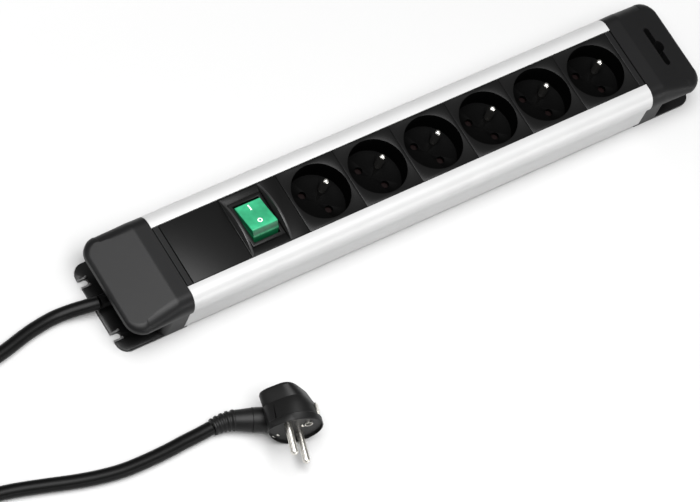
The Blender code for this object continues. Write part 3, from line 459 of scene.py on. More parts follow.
def smooth_route(points, spacing):
    """A Catmull-Rom curve through points given in millimetres, read off at an even spacing."""
    knots = [Vector(point) * MM for point in points]
    knots = [2 * knots[0] - knots[1]] + knots + [2 * knots[-1] - knots[-2]]
    fine = []
    for p0, p1, p2, p3 in zip(knots, knots[1:], knots[2:], knots[3:]):
        for step in range(10):
            t = step / 10
            fine.append(0.5 * (
                2 * p1 + (p2 - p0) * t + (2 * p0 - 5 * p1 + 4 * p2 - p3) * t ** 2
                + (3 * p1 - p0 - 3 * p2 + p3) * t ** 3
            ))
    fine.append(knots[-2])
    travelled = [0.0]
    for a, b in zip(fine, fine[1:]):
        travelled.append(travelled[-1] + (b - a).length)
    count = max(2, round(travelled[-1] / spacing))
    even = []
    k = 1
    for i in range(count + 1):
        target = travelled[-1] * i / count
        while k < len(fine) - 1 and travelled[k] < target:
            k += 1
        share = (target - travelled[k - 1]) / (travelled[k] - travelled[k - 1])
        even.append(fine[k - 1].lerp(fine[k], share))
    return even


def route_length(route):
    return sum((b - a).length for a, b in zip(route, route[1:]))


def tube(name, route, radii, finish, resolution=6):
    """A round tube along a route; radii is one number or one for each point."""
    curve = bpy.data.curves.new(name, "CURVE")
    curve.dimensions = "3D"
    curve.bevel_depth = 1.0 * MM
    curve.bevel_resolution = resolution
    curve.use_fill_caps = True
    spline = curve.splines.new("POLY")
    spline.points.add(len(route) - 1)
    if not isinstance(radii, (list, tuple)):
        radii = [radii] * len(route)
    for point, place, radius in zip(spline.points, route, radii):
        point.co = (*place, 1.0)
        point.radius = radius / MM
    curve.materials.append(finish)
    piece = bpy.data.objects.new(name, curve)
    bpy.context.scene.collection.objects.link(piece)
    return piece


cord_route = smooth_route(STRIP_SIDE + coil_turns() + PLUG_SIDE, 4.0 * MM)
mains_cord = tube("mains_cord", cord_route, CORD_RADIUS, CORD_JACKET)
stands_for(mains_cord, "strip", "cord_strip_side", "cord_coil", "cord_plug_side", slot="cord_jacket")
print("The cord's route is %.3f m long" % route_length(cord_route))

# %% [markdown]
# A tie keeps the coil together. It is a soft band round the bundle of turns, a little rounded at its
# corners because it is pulled tight over a round bundle.

# %% The tie
def add_tie():
    band = 0.9 * MM
    depth = 3.9 * MM
    slack = 0.3 * MM
    inner = INNER_TURN * MM - CORD_RADIUS - slack
    outer = OUTER_TURN * MM + CORD_RADIUS + slack
    floor = 1.0 * MM
    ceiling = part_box("coil_tie")[1].z - band
    corner = 4.0 * MM

    def rounded(left, right, bottom, top, radius):
        outline = arc((right - radius, bottom + radius), (radius, radius), -90.0, 0.0, 6)
        outline += arc((right - radius, top - radius), (radius, radius), 0.0, 90.0, 6)
        outline += arc((left + radius, top - radius), (radius, radius), 90.0, 180.0, 6)
        return outline + arc((left + radius, bottom + radius), (radius, radius), 180.0, 270.0, 6)

    loops = [
        rounded(inner - band, outer + band, floor - band, ceiling + band, corner + band),
        rounded(inner, outer, floor, ceiling, corner),
    ]
    plane = Matrix.Translation(COIL_CENTRE) @ Matrix.Rotation(math.radians(150.0), 4, "Z") @ IN_XZ
    tie = round_edges(slab("tie", loops, -depth, depth, plane, CORD_JACKET), 0.2 * MM)
    return stands_for(tie, "strip", "coil_tie", slot="cord_jacket")


tie = add_tie()
print("The tie is %.0f mm high" % (tie.dimensions.z / MM))

# %% [markdown]
# ## The aluminium body
#
# The body is one extrusion: whatever its section is, it is the same along the whole length. So the section
# is drawn once, as an outline, and given the strip's length. Its broad shoulders roll over from the flat
# top to a sharp edge, below which the plain lower wall stands a little further in. That edge is why the
# side shows one soft gradient, a dark line, and then an even grey.

# %% The extruded section
SHOULDER_CENTRE = 26.0 * MM                 # where the flat top turns into the shoulder
SHOULDER_ACROSS = 9.1 * MM
SHOULDER_DROP = 11.0 * MM


def half_section():
    centre = (SHOULDER_CENTRE, TOP - SHOULDER_DROP)
    outer = [
        (32.5 * MM, 2.3 * MM), (33.05 * MM, 2.5 * MM), (33.3 * MM, 3.1 * MM), (33.3 * MM, LEDGE - 1.6 * MM),
        (33.9 * MM, LEDGE - 0.3 * MM), (34.7 * MM, LEDGE), (35.0 * MM, LEDGE + 0.3 * MM),
        (35.1 * MM, LEDGE + 0.8 * MM),
    ]
    outer += arc(centre, (SHOULDER_ACROSS, SHOULDER_DROP), 0.0, 90.0, 26)
    channel = [
        (22.7 * MM, TOP), (22.45 * MM, TOP - 0.1 * MM), (22.35 * MM, TOP - 0.35 * MM),
        (22.35 * MM, TOP - 8.0 * MM), (24.0 * MM, TOP - 8.0 * MM), (24.0 * MM, TOP - 1.6 * MM),
    ]
    inner = arc(centre, (7.5 * MM, 9.4 * MM), 90.0, 0.0, 8)
    return outer + channel + inner + [(31.7 * MM, LEDGE - 1.2 * MM), (31.7 * MM, 3.9 * MM)]


def add_body():
    half = half_section()
    other = [(-y, z) for y, z in reversed(half)]
    body = slab("extruded_body", [half + other], -BODY_END, BODY_END, IN_YZ, DRAWN_ALUMINIUM)
    return stands_for(soften(body, 22.0), "strip", "aluminium_profile", slot="aluminium")


body = add_body()
print("The body has %d faces" % len(body.data.polygons))

# %% [markdown]
# ## The end caps
#
# Each cap is a thin shell. It carries the body's section on, flat on top as far as a crease, and then
# slopes down to a thin edge, while its sides flare a little and its corners are rounded. The shell's
# surface is built from its plan: at every point of the outline a short quarter curve leads from the side
# wall up to the top. Where the plan turns the corner the curve shrinks, so the soft shoulder dies away into
# a narrow rim.

# %% The cap's shell
CREASE = BODY_END + 10.8 * MM
CAP_TIP_TOP = TOP - 8.5 * MM
CAP_CORNER = 12.0 * MM
CAP_HALF_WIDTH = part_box("end_cap_hanger")[1].y
SHOULDER_HALF_WIDTH = SHOULDER_CENTRE + SHOULDER_ACROSS
TIP_ACROSS = 5.0 * MM                       # the shoulder's curve where the sides reach the tip
TIP_DROP = 4.0 * MM
RIM_ACROSS = 2.4 * MM                       # and where the plan has turned the corner
RIM_DROP = 1.9 * MM
TIP_OPENING = 38.0                          # degrees by which the curve stops short at the tip
SHELL = 2.0 * MM


def cap_top(x):
    share = max(0.0, (x - CREASE) / (CAP_END - CREASE))
    return TOP + (CAP_TIP_TOP - TOP) * share


def cap_plan():
    """Half of the cap's outline: each point, its inward direction, and its turn round the corner, 0 to 1."""
    start = BODY_END + 0.25 * MM
    straight_end = CAP_END - CAP_CORNER
    stations = [start, start + 0.4 * MM] + [CREASE + move * MM for move in (-1.4, -0.4, 0.4, 1.4)]
    stations += [CREASE + (straight_end - CREASE) * i / 5 for i in range(1, 6)]
    plan = []
    for x in stations:
        share = (x - BODY_END) / (CAP_END - BODY_END)
        half = SHOULDER_HALF_WIDTH + (CAP_HALF_WIDTH - SHOULDER_HALF_WIDTH) * share
        plan.append((x, half, (0.0, -1.0), 0.0))
    middle = (straight_end, CAP_HALF_WIDTH - CAP_CORNER)
    for i in range(1, 15):
        angle = math.radians(90.0 - 90.0 * i / 14)
        away = (math.cos(angle), math.sin(angle))
        place = (middle[0] + CAP_CORNER * away[0], middle[1] + CAP_CORNER * away[1])
        plan.append((place[0], place[1], (-away[0], -away[1]), i / 14))
    return plan


def add_cap_shell(side):
    bm = bmesh.new()
    rows = []
    levels = 12
    for x, half, inward, turn in cap_plan():
        share = max(0.0, (x - CREASE) / (CAP_END - CREASE))
        across = SHOULDER_ACROSS + (TIP_ACROSS - SHOULDER_ACROSS) * share
        across += (RIM_ACROSS - across) * turn
        drop = SHOULDER_DROP + (TIP_DROP - SHOULDER_DROP) * share
        drop += (RIM_DROP - drop) * turn
        pair = []
        for way in (1, -1):
            column = [bm.verts.new((side * x, way * half, LEDGE + rise)) for rise in (0.0, 0.5 * MM)]
            full = math.radians(90.0 - TIP_OPENING * share * (1 - turn))
            for level in range(levels + 1):
                angle = full * level / levels
                move = across * (1 - math.cos(angle)) / (1 - math.cos(full))
                inner_x = x + inward[0] * move
                inner_y = half + inward[1] * move
                height = cap_top(inner_x) - drop * (1 - math.sin(angle) / math.sin(full))
                column.append(bm.verts.new((side * inner_x, way * inner_y, height)))
            flat_x = inner_x + inward[0] * 0.8 * MM
            flat_y = inner_y + inward[1] * 0.8 * MM
            column.append(bm.verts.new((side * flat_x, way * flat_y, cap_top(flat_x))))
            pair.append(column)
        rows.append(pair)
    for near, far in zip(rows, rows[1:]):
        for column, after in zip(near, far):
            for a, b, c, d in zip(column, column[1:], after[1:], after):
                bm.faces.new((a, b, c, d))
        bm.faces.new((near[0][-1], near[1][-1], far[1][-1], far[0][-1]))
    left, right = rows[-1]
    for a, b, c, d in zip(left, left[1:], right[1:], right):
        bm.faces.new((a, b, c, d))
    shell = piece_from("cap_shell", bm, CAP_PLASTIC)
    thicken = shell.modifiers.new("wall", "SOLIDIFY")
    thicken.thickness = SHELL
    thicken.offset = -1.0
    thicken.use_even_offset = True
    return settle(shell)


print("The cap slopes down beyond %.1f mm" % (CREASE / MM))

# %% [markdown]
# Under the shell a skirt goes down to the foot, with a wall across its end, and a tongue reaches into the
# body's channel up to the first module. The hanger end has a long slot with a round widening, so that the
# strip can hang on a screw. These are plain mouldings, joined to the shell as one part.

# %% Skirt, tongue, slot and the whole cap
SKIRT_END = BODY_END + 17.2 * MM
SCREW_X = BODY_END + 8.7 * MM
SCREW_Y = 26.0 * MM
HANGER_X = BODY_END + 25.8 * MM


def skirt_outline(side):
    half = 33.3 * MM
    wall = 2.0 * MM
    start = BODY_END + 0.3 * MM
    corner = 5.0 * MM
    outer = [(start, -half)] + arc((SKIRT_END - corner, corner - half), (corner, corner), -90.0, 0.0, 8)
    inner_corner = corner - wall
    inner = [(start, wall - half)] + arc(
        (SKIRT_END - corner, corner - half), (inner_corner, inner_corner), -90.0, 0.0, 8)
    outer += [(x, -y) for x, y in reversed(outer)]
    inner += [(x, -y) for x, y in reversed(inner)]
    return [(side * x, y) for x, y in outer + list(reversed(inner))]


def hanger_shape(name, margin, low, high):
    """The slot, or with a margin the outside of the collar that stands round it under the shell."""
    half = 2.3 * MM + margin
    end = 12.95 * MM
    head = 4.4 * MM + margin
    reach = math.degrees(math.asin((1.0 * MM + margin) / head))
    outline = arc((HANGER_X, -end), (half, half), 180.0, 360.0, 14)
    outline += arc((HANGER_X + 1.3 * MM, 0.0), (head, head), reach - 90.0, 90.0 - reach, 20)
    outline += arc((HANGER_X, end), (half, half), 0.0, 180.0, 14)
    return slab(name, [outline], low, high, IN_XY, CAP_PLASTIC)


def add_cap(side, label):
    shell = add_cap_shell(side)
    if side > 0:
        shell = combine(shell, hanger_shape("collar", 1.8 * MM, TOP - 16.0 * MM, TOP - 5.9 * MM), "UNION")
        shell = combine(shell, hanger_shape("slot", 0.0, TOP - 20.0 * MM, TOP + 4.0 * MM))
    shell = round_edges(shell, 0.2 * MM, 2, 70.0)
    node = "end_cap_" + label
    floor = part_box(node)[0].z
    skirt = slab("skirt", [skirt_outline(side)], floor, TOP - 11.5 * MM, IN_XY, CAP_PLASTIC)
    if side < 0:
        grommet_hole = rod(
            "grommet_tool", (-SKIRT_END - 2 * MM, CORD_EXIT.y, CORD_EXIT.z),
            (-SKIRT_END + 6 * MM, CORD_EXIT.y, CORD_EXIT.z), 6.4 * MM,
        )
        skirt = combine(skirt, grommet_hole)
    skirt = round_edges(skirt, 0.25 * MM)
    xs = sorted((side * (SKIRT_END - 2.0 * MM), side * SKIRT_END))
    wall = block("wall", (xs[0], -29.0 * MM, LEDGE), (xs[1], 29.0 * MM, TOP - 3.6 * MM), CAP_PLASTIC)
    half = ROW_HALF_WIDTH - 0.05 * MM
    pieces = [shell, skirt, wall]
    for start, end, top in ((-4.5, -0.5, 0.12), (-2.0, 1.0, 1.4)):
        xs = sorted((side * (BODY_END + start * MM), side * (BODY_END + end * MM)))
        tongue = block("tongue", (xs[0], -half, TOP - 2.3 * MM), (xs[1], half, TOP - top * MM), CAP_PLASTIC)
        pieces.append(round_edges(tongue, 0.3 * MM))
    for way in (-1, 1):
        foot = Vector((side * SCREW_X, way * SCREW_Y, floor))
        pieces.append(turned("boss", [
            (1.7 * MM, 30.0 * MM), (3.5 * MM, 30.0 * MM), (3.5 * MM, 0.0), (1.7 * MM, 0.0),
            (1.7 * MM, 30.0 * MM),
        ], foot, (0, 0, 1), CAP_PLASTIC, 20))
    cap = soften(join("cap_" + label, pieces), 14.0)
    return stands_for(cap, "strip", node, slot="cap_plastic")


for side, label in ((-1, "cord"), (1, "hanger")):
    cap = add_cap(side, label)
    print("%s: %d faces" % (cap.name, len(cap.data.polygons)))

# %% [markdown]
# ## The feet
#
# A thin glossy plate closes each end from below and stands out past the cap. Two notches in its outer edge
# hold the cord when it is led out sideways, and small pointed fins on both sides of a notch grip the
# jacket.

# %% Foot plates
FOOT_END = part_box("foot_plate_hanger")[1].x
FOOT_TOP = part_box("foot_plate_hanger")[1].z
NOTCH_CENTRE = 20.3 * MM
NOTCH_HALF = 2.1 * MM


def foot_outline(side):
    half = 33.0 * MM
    corner = 8.0 * MM
    right = [(BODY_END - 2.6 * MM, -half)]
    right += arc((FOOT_END - corner, corner - half), (corner, corner), -90.0, 0.0, 12)
    right += [
        (FOOT_END, -NOTCH_CENTRE - NOTCH_HALF - 0.8 * MM),
        (FOOT_END - 1.6 * MM, -NOTCH_CENTRE - NOTCH_HALF),
    ]
    right += arc((FOOT_END - 3.8 * MM, -NOTCH_CENTRE), (NOTCH_HALF, NOTCH_HALF), 270.0, 90.0, 10)
    right += [
        (FOOT_END - 1.6 * MM, -NOTCH_CENTRE + NOTCH_HALF),
        (FOOT_END, -NOTCH_CENTRE + NOTCH_HALF + 0.8 * MM),
    ]
    left = [(x, -y) for x, y in reversed(right)]
    return [(side * x, y) for x, y in right + left]


def add_fin(side, y):
    profile = ((-6.5, 0.4), (-6.2, 3.4), (-4.9, 4.8), (-4.4, 2.9), (-1.6, 2.3), (0.9, 2.9), (-0.2, 0.4))
    outline = [(side * (FOOT_END + x * MM), z * MM) for x, z in profile]
    # The fins get the lighter grey finish, which paints light on them.
    return slab("fin", [outline], -y - 0.55 * MM, -y + 0.55 * MM, IN_XZ, FIN_PAINTED_LIGHT)


def add_foot(side, label):
    plate = slab("plate", [foot_outline(side)], 0.0, FOOT_TOP, IN_XY, FOOT_PLASTIC)
    pieces = [round_edges(plate, 0.3 * MM)]
    for centre in (-NOTCH_CENTRE, NOTCH_CENTRE):
        for way in (-1, 1):
            pieces.append(round_edges(add_fin(side, centre + way * (NOTCH_HALF + 0.7 * MM)), 0.2 * MM))
    foot = join("foot_" + label, pieces)
    return stands_for(foot, "strip", "foot_plate_" + label, slot="foot_plastic")


for side, label in ((-1, "cord"), (1, "hanger")):
    foot = add_foot(side, label)
print("Feet end at %.1f mm" % (FOOT_END / MM))

# %% [markdown]
# ## The strain relief
#
# Where the cord leaves the cap it would soon break if it could bend sharply. A tapered rubber sleeve makes
# it bend in a wide curve. It is turned round the cord, with a groove that snaps into the wall.

# %% Strain relief
def add_strain_relief():
    low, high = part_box("cord_strain_relief")
    bore = CORD_RADIUS + 0.05 * MM
    length = high.x - low.x
    wall_place = -SKIRT_END - low.x
    profile = [
        (bore, length), (7.3 * MM, length), (7.6 * MM, length - 0.4 * MM), (7.6 * MM, wall_place + 2.3 * MM),
        (6.1 * MM, wall_place + 2.3 * MM), (6.1 * MM, wall_place - 0.3 * MM),
        (7.6 * MM, wall_place - 0.3 * MM), (7.6 * MM, wall_place - 2.0 * MM),
        (7.2 * MM, wall_place - 2.6 * MM),
    ]
    rings = 5
    reach = wall_place - 4.0 * MM
    for i in range(rings):
        share = i / rings
        radius = 6.8 * MM - 1.3 * MM * share
        top = reach * (1 - share)
        pitch = reach / rings
        groove = radius - 0.7 * MM
        profile += [(radius, top), (radius - 0.1 * MM, top - pitch * 0.55)]
        profile += [(groove, top - pitch * 0.65), (groove, top - pitch * 0.9)]
    profile += [(5.3 * MM, 0.3 * MM), (5.1 * MM, 0.0), (bore, 0.0), (bore, length)]
    relief = turned(
        "strain_relief", profile, (low.x, CORD_EXIT.y, CORD_EXIT.z), (1, 0, 0), CORD_JACKET, 40)
    return stands_for(relief, "strip", "cord_strain_relief", slot="cord_jacket")


add_strain_relief()
print("Strain relief made")

# %% [markdown]
# ## Modules
#
# The modules are square mouldings that slide into the body's channel. They touch each other along thin dark
# joints. A small round on every edge gives each joint its fine highlight. A socket is a deep round recess,
# and the same mesh serves all six.

# %% The blank module and the sockets
RECESS_RADIUS = 19.75 * MM
RECESS_DEPTH = 15.0 * MM
SOCKET_TURN = math.radians(35.0)
PIN_CIRCLE = 9.5 * MM
EARTH_CIRCLE = 10.0 * MM
SHUTTER_POST = 2.1 * MM                     # reaches down from the socket's underside, out of sight


def add_blank():
    low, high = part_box("blank_cover")
    cover = round_edges(block("blank_module", low, high, MODULE_PLASTIC), 0.35 * MM, 3)
    return stands_for(cover, "strip", "blank_cover", slot="module_plastic")


def around(radius, angle):
    return Vector((radius * math.cos(angle), radius * math.sin(angle), 0.0))


def socket_mesh():
    """One socket about the Z axis: its recess, its pin holes and the hole that its earth pin stands in."""
    low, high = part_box("socket_1")
    underside = low.z + SHUTTER_POST
    floor = TOP - RECESS_DEPTH
    middle = Vector((SOCKET_CENTRES[0], 0.0, 0.0))
    corner = Vector((low.x, low.y, underside)) - middle
    socket = block("socket_shape", corner, high - middle, MODULE_PLASTIC)
    up = Vector((0.0, 0.0, 1.0))
    socket = combine(socket, rod("recess", up * floor, up * (TOP + 2 * MM), RECESS_RADIUS, None, 96))
    holes = (
        (PIN_CIRCLE, SOCKET_TURN + math.pi / 2, 2.6 * MM),
        (PIN_CIRCLE, SOCKET_TURN - math.pi / 2, 2.6 * MM),
        (EARTH_CIRCLE, SOCKET_TURN, 2.55 * MM),
    )
    for reach, angle, radius in holes:
        place = around(reach, angle)
        hole = rod("hole", place + up * (underside - 2 * MM), place + up * (floor + 2 * MM), radius, None, 32)
        socket = combine(socket, hole)
    socket = round_edges(socket, 0.3 * MM, 2, 40.0)
    # Faces inside the recess, below the rim, get the darker finish: painted shade in the recess.
    socket.data.materials.append(RECESS_PAINTED_SHADE)
    for face in socket.data.polygons:
        inside = face.center.xy.length < RECESS_RADIUS + 0.05 * MM
        face.material_index = 1 if inside and face.center.z < TOP - 0.35 * MM else 0
    return socket


add_blank()
socket_shape = socket_mesh()
for number, x in enumerate(SOCKET_CENTRES, 1):
    socket = new_piece("socket_module_%d" % number, socket_shape.data)
    socket.location.x = x
    stands_for(socket, "strip", "socket_%d" % number, slot="module_plastic")
bpy.data.objects.remove(socket_shape, do_unlink=True)
print("%d sockets" % len(SOCKET_CENTRES))

# %% [markdown]
# The earth pin stands up out of the recess's floor. It is nickel plated brass with a rounded tip, and its
# bright crown is the one thing in the dark recess that catches the light.

# %% Earth pins
EARTH_PIN_SETBACK = 1.5 * MM


def earth_pin_profile():
    tip = TOP - EARTH_PIN_SETBACK
    radius = 2.4 * MM
    crown = arc((0.0, tip - 2.6 * MM), (radius, 2.6 * MM), 90.0, 0.0, 12)
    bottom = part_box("earth_pin_1")[0].z
    return crown + [
        (radius, 20.0 * MM), (2.0 * MM, 19.8 * MM), (2.0 * MM, bottom + 0.3 * MM), (1.7 * MM, bottom),
        (0.0, bottom),
    ]


for number, x in enumerate(SOCKET_CENTRES, 1):
    place = around(EARTH_CIRCLE, SOCKET_TURN) + Vector((x, 0.0, 0.0))
    pin = turned("earth_contact_%d" % number, earth_pin_profile(), place, (0, 0, 1), NICKEL, 32)
    stands_for(pin, "strip", "earth_pin_%d" % number, slot="nickel")
print("Earth pins stand %.1f mm below the faces" % (EARTH_PIN_SETBACK / MM))

# %% [markdown]
# ## The switch
#
# The rocker sits in a black bezel between two arched ribs, which keep it from being pressed by accident.
# Round the bezel the frame falls away a little, so its strips catch the light differently from the module
# faces.

# %% Switch frame and bezel
SWITCH_X = (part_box("rocker")[0].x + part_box("rocker")[1].x) / 2
ROCKER_AXIS = Vector((SWITCH_X, 0.0, TOP - 4.9 * MM))
RIB_FACES = ((-129.9 * MM, -128.5 * MM), (-101.2 * MM, -99.8 * MM))


def rib_outline():
    chord = 21.0 * MM
    rise = 6.5 * MM
    radius = (chord ** 2 + rise ** 2) / (2 * rise)
    sweep = math.degrees(math.asin(chord / radius))
    crown = arc((0.0, TOP + rise - radius), (radius, radius), 90.0 - sweep, 90.0 + sweep, 36)
    return crown + [(-chord, TOP - 2.0 * MM), (chord, TOP - 2.0 * MM)]


def add_switch_frame():
    low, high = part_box("switch_frame")
    high.z = TOP
    plate = block("plate", low, high, MODULE_PLASTIC)
    left = RIB_FACES[0][1]
    right = RIB_FACES[1][0]
    plate = combine(plate, block(
        "dip", (left, -21.4 * MM, TOP - 1.5 * MM), (right, 21.4 * MM, TOP + 2 * MM), MODULE_PLASTIC))
    plate = combine(plate, block(
        "well", (SWITCH_X - 11.4 * MM, -15.3 * MM, TOP - 8 * MM),
        (SWITCH_X + 11.4 * MM, 15.3 * MM, TOP + 2 * MM), MODULE_PLASTIC))
    pieces = [round_edges(plate, 0.3 * MM)]
    for near, far in RIB_FACES:
        pieces.append(round_edges(slab("rib", [rib_outline()], near, far, IN_YZ, RIB_PLASTIC), 0.3 * MM, 3))
    for way in (-1, 1):
        strip = [
            (way * 16.4 * MM, TOP - 2.0 * MM), (way * 21.3 * MM, TOP - 2.0 * MM),
            (way * 21.3 * MM, TOP - 0.1 * MM), (way * 16.4 * MM, TOP - 1.1 * MM),
        ]
        band = slab("strip", [strip], left + 0.1 * MM, right - 0.1 * MM, IN_YZ, MODULE_PLASTIC)
        pieces.append(round_edges(band, 0.2 * MM))
    rail = block("rail", (left, -16.4 * MM, TOP - 2 * MM), (SWITCH_X - 12.5 * MM, 16.4 * MM, TOP - 0.6 * MM),
                 MODULE_PLASTIC)
    pieces.append(rail)
    switch_frame = join("switch_surround", pieces)
    return stands_for(switch_frame, "strip", "switch_frame", slot="module_plastic")


def add_bezel():
    low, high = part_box("switch_body")
    flange = block("flange", (low.x, low.y, high.z - 1.3 * MM), high, BEZEL_PLASTIC)
    housing = block("housing", (SWITCH_X - 11.1 * MM, -15.0 * MM, low.z),
                    (SWITCH_X + 11.1 * MM, 15.0 * MM, high.z - 0.6 * MM), BEZEL_PLASTIC)
    bezel = combine(flange, housing, "UNION")
    bezel = combine(bezel, block("hollow", (SWITCH_X - 9.8 * MM, -13.7 * MM, low.z - 2 * MM),
                                 (SWITCH_X + 9.8 * MM, 13.7 * MM, TOP + 2 * MM), BEZEL_PLASTIC))
    sideways = Vector((14.0 * MM, 0.0, 0.0))
    pivot_hole = rod("pivot_hole", ROCKER_AXIS - sideways, ROCKER_AXIS + sideways, 1.8 * MM, None, 24)
    bezel = combine(bezel, pivot_hole)
    return stands_for(round_edges(bezel, 0.35 * MM, 3), "strip", "switch_body", slot="module_plastic")


add_switch_frame()
add_bezel()
print("Switch surround and bezel made")

# %% [markdown]
# The rocker is clear green plastic with a lamp behind it. Its colour is partly the lamp's glow and partly
# painted light: it follows the height inside the rocker, so the broad top is painted light, the steep sides
# deep green with a painted paler band, and the top edges, where the lamp's light comes out of the clear
# moulding, are the brightest of all. A little glow is added, rather than making the plastic truly clear,
# which would show the bare metal in the switch.

# %% The rocker's glow and painted light
ROCKER_TILT = math.radians(-14.0)


def rocker_glow_and_painted_light():
    material = bpy.data.materials.new("green_glow_and_painted_light")
    material.use_nodes = True
    nodes = material.node_tree.nodes
    links = material.node_tree.links
    shader = nodes["Principled BSDF"]
    shader.inputs["Roughness"].default_value = 0.34
    shader.inputs["Specular IOR Level"].default_value = 0.3
    shader.inputs["Emission Strength"].default_value = 0.22
    place = nodes.new("ShaderNodeTexCoord")
    split = nodes.new("ShaderNodeSeparateXYZ")
    links.new(place.outputs["Object"], split.inputs["Vector"])
    height = nodes.new("ShaderNodeMapRange")
    height.inputs["From Min"].default_value = 0.0
    height.inputs["From Max"].default_value = 9.0 * MM
    links.new(split.outputs["Z"], height.inputs["Value"])
    # Painted light: the top is light, and the steep sides are dark with a paler painted band across them.
    painted_light_ramp = nodes.new("ShaderNodeValToRGB")
    stops = painted_light_ramp.color_ramp.elements
    stops[0].position = 0.0
    stops[0].color = (0.002, 0.05, 0.018, 1.0)
    stops[1].position = 1.0
    stops[1].color = (0.032, 0.30, 0.15, 1.0)
    for position, colour in ((0.35, (0.003, 0.05, 0.02, 1.0)), (0.45, (0.008, 0.12, 0.05, 1.0)),
                             (0.60, (0.003, 0.04, 0.018, 1.0)), (0.86, (0.006, 0.08, 0.035, 1.0)),
                             (0.95, (0.028, 0.28, 0.135, 1.0))):
        stop = stops.new(position)
        stop.color = colour
    links.new(height.outputs["Result"], painted_light_ramp.inputs["Fac"])
    cloud = nodes.new("ShaderNodeTexNoise")
    cloud.inputs["Scale"].default_value = 220.0
    links.new(place.outputs["Object"], cloud.inputs["Vector"])
    mix = nodes.new("ShaderNodeMix")
    mix.data_type = "RGBA"
    mix.blend_type = "OVERLAY"
    mix.inputs["Factor"].default_value = 0.35
    links.new(painted_light_ramp.outputs["Color"], mix.inputs["A"])
    links.new(cloud.outputs["Fac"], mix.inputs["B"])
    links.new(mix.outputs["Result"], shader.inputs["Base Color"])
    links.new(mix.outputs["Result"], shader.inputs["Emission Color"])
    return material


GREEN_GLOW_AND_PAINTED_LIGHT = rocker_glow_and_painted_light()
print("Rocker glow and painted light made")

# %% The rocker and its marks
def tilted(piece):
    """Set a piece that was drawn level about the rocker's own axis into its place."""
    piece.matrix_world = Matrix.Translation(ROCKER_AXIS) @ Matrix.Rotation(ROCKER_TILT, 4, "X")
    return piece


def add_rocker():
    half = [(8.0, -6.5), (12.6, -2.5), (12.6, 3.5), (10.6, 7.9), (10.2, 8.6)]
    outline = [(y * MM, z * MM) for y, z in half]
    dish = []
    for y in (7.0, 3.5, 0.0, -3.5, -7.0):
        dish.append((y * MM, (8.6 - 0.35 * math.cos(y / 10.2 * math.pi / 2)) * MM))
    outline += dish + [(-y, z) for y, z in reversed(outline)]
    key = slab("rocker_cap", [outline], -9.5 * MM, 9.5 * MM, IN_YZ, GREEN_GLOW_AND_PAINTED_LIGHT)
    parts = [round_edges(key, 0.45 * MM, 3, 20.0)]
    for way in (-1, 1):
        parts.append(rod("stub", (way * 9.4 * MM, 0, 0), (way * 10.6 * MM, 0, 0), 1.5 * MM, GREEN_GLOW_AND_PAINTED_LIGHT, 20))
        x = way * 5.0 * MM
        parts.append(rod("plunger", (x, 0, -13.0 * MM), (x, 0, -6.0 * MM), 1.5 * MM, GREEN_GLOW_AND_PAINTED_LIGHT, 20))
    rocker = tilted(join("green_rocker", parts))
    stands_for(rocker, "rocker", "rocker", slot="rocker")
    surface = 8.3 * MM
    thick = 0.12 * MM
    bar_top = surface + thick + 0.2 * MM
    bar = block("mark_on", (-1.15 * MM, 4.2 * MM, surface), (-0.25 * MM, 8.6 * MM, bar_top), MARK_WHITE)
    ring = turned("mark_off", [
        (0.95 * MM, thick), (1.65 * MM, thick), (1.65 * MM, -0.2 * MM), (0.95 * MM, -0.2 * MM),
        (0.95 * MM, thick),
    ], (-0.5 * MM, -5.3 * MM, surface + 0.12 * MM), (0, 0, 1), MARK_WHITE, 32)
    for mark in (bar, ring):
        stands_for(tilted(mark), "rocker", slot="rocker")
    return rocker


add_rocker()
print("Rocker tilted by %.0f degrees" % math.degrees(ROCKER_TILT))

# %% [markdown]
# ## The plug
#
# The plug lies on its side, its pins level and its cord end drooping to the desk. It is drawn in its own
# axes: out of the face, towards the cord, and across. Its outline is round on the far side and blunt
# towards the cord. Behind a raised rim the sides run straight back to a crease, and then slant in to the
# grip.

# %% The plug's own axes and outline
PLUG_FACE = Vector((-160.1, -129.8, 19.0)) * MM
PLUG_HEADING = math.radians(-108.5)
PLUG_LEAN = math.radians(37.0)
AHEAD = Vector((math.cos(PLUG_HEADING), math.sin(PLUG_HEADING), 0.0))
SIDEWAYS = Vector((0.0, 0.0, 1.0)).cross(AHEAD)
TO_CORD = -SIDEWAYS * math.cos(PLUG_LEAN) - Vector((0.0, 0.0, 1.0)) * math.sin(PLUG_LEAN)
ACROSS = AHEAD.cross(TO_CORD)
PLUG_AXES = Matrix.Translation(PLUG_FACE) @ Matrix((TO_CORD, ACROSS, AHEAD)).transposed().to_4x4()
BOOT_ROUTE = [
    (-176.0, -108.2, 8.4), (-181.0, -105.9, 8.0), (-186.5, -103.2, 7.2), (-192.5, -101.6, 6.2),
    (-199.6, -101.2, 5.4),
]


def plug_section(depth, towards, away, half, square):
    """One closed section: blunt towards the cord, and elsewhere round or, with more square, boxy."""
    points = []
    for i in range(72):
        turn = math.tau * i / 72
        u = math.cos(turn)
        v = math.sin(turn)
        power = 0.5 if u > 0 else 1.0 - square
        reach = towards if u > 0 else away
        points.append((
            math.copysign(abs(u) ** power, u) * reach * MM,
            math.copysign(abs(v) ** (1.0 - square), v) * half * MM,
            depth * MM,
        ))
    return points


def in_plug(piece):
    """Move the mesh itself, so that the box round the piece stays a tight one."""
    piece.data.transform(PLUG_AXES)
    return piece


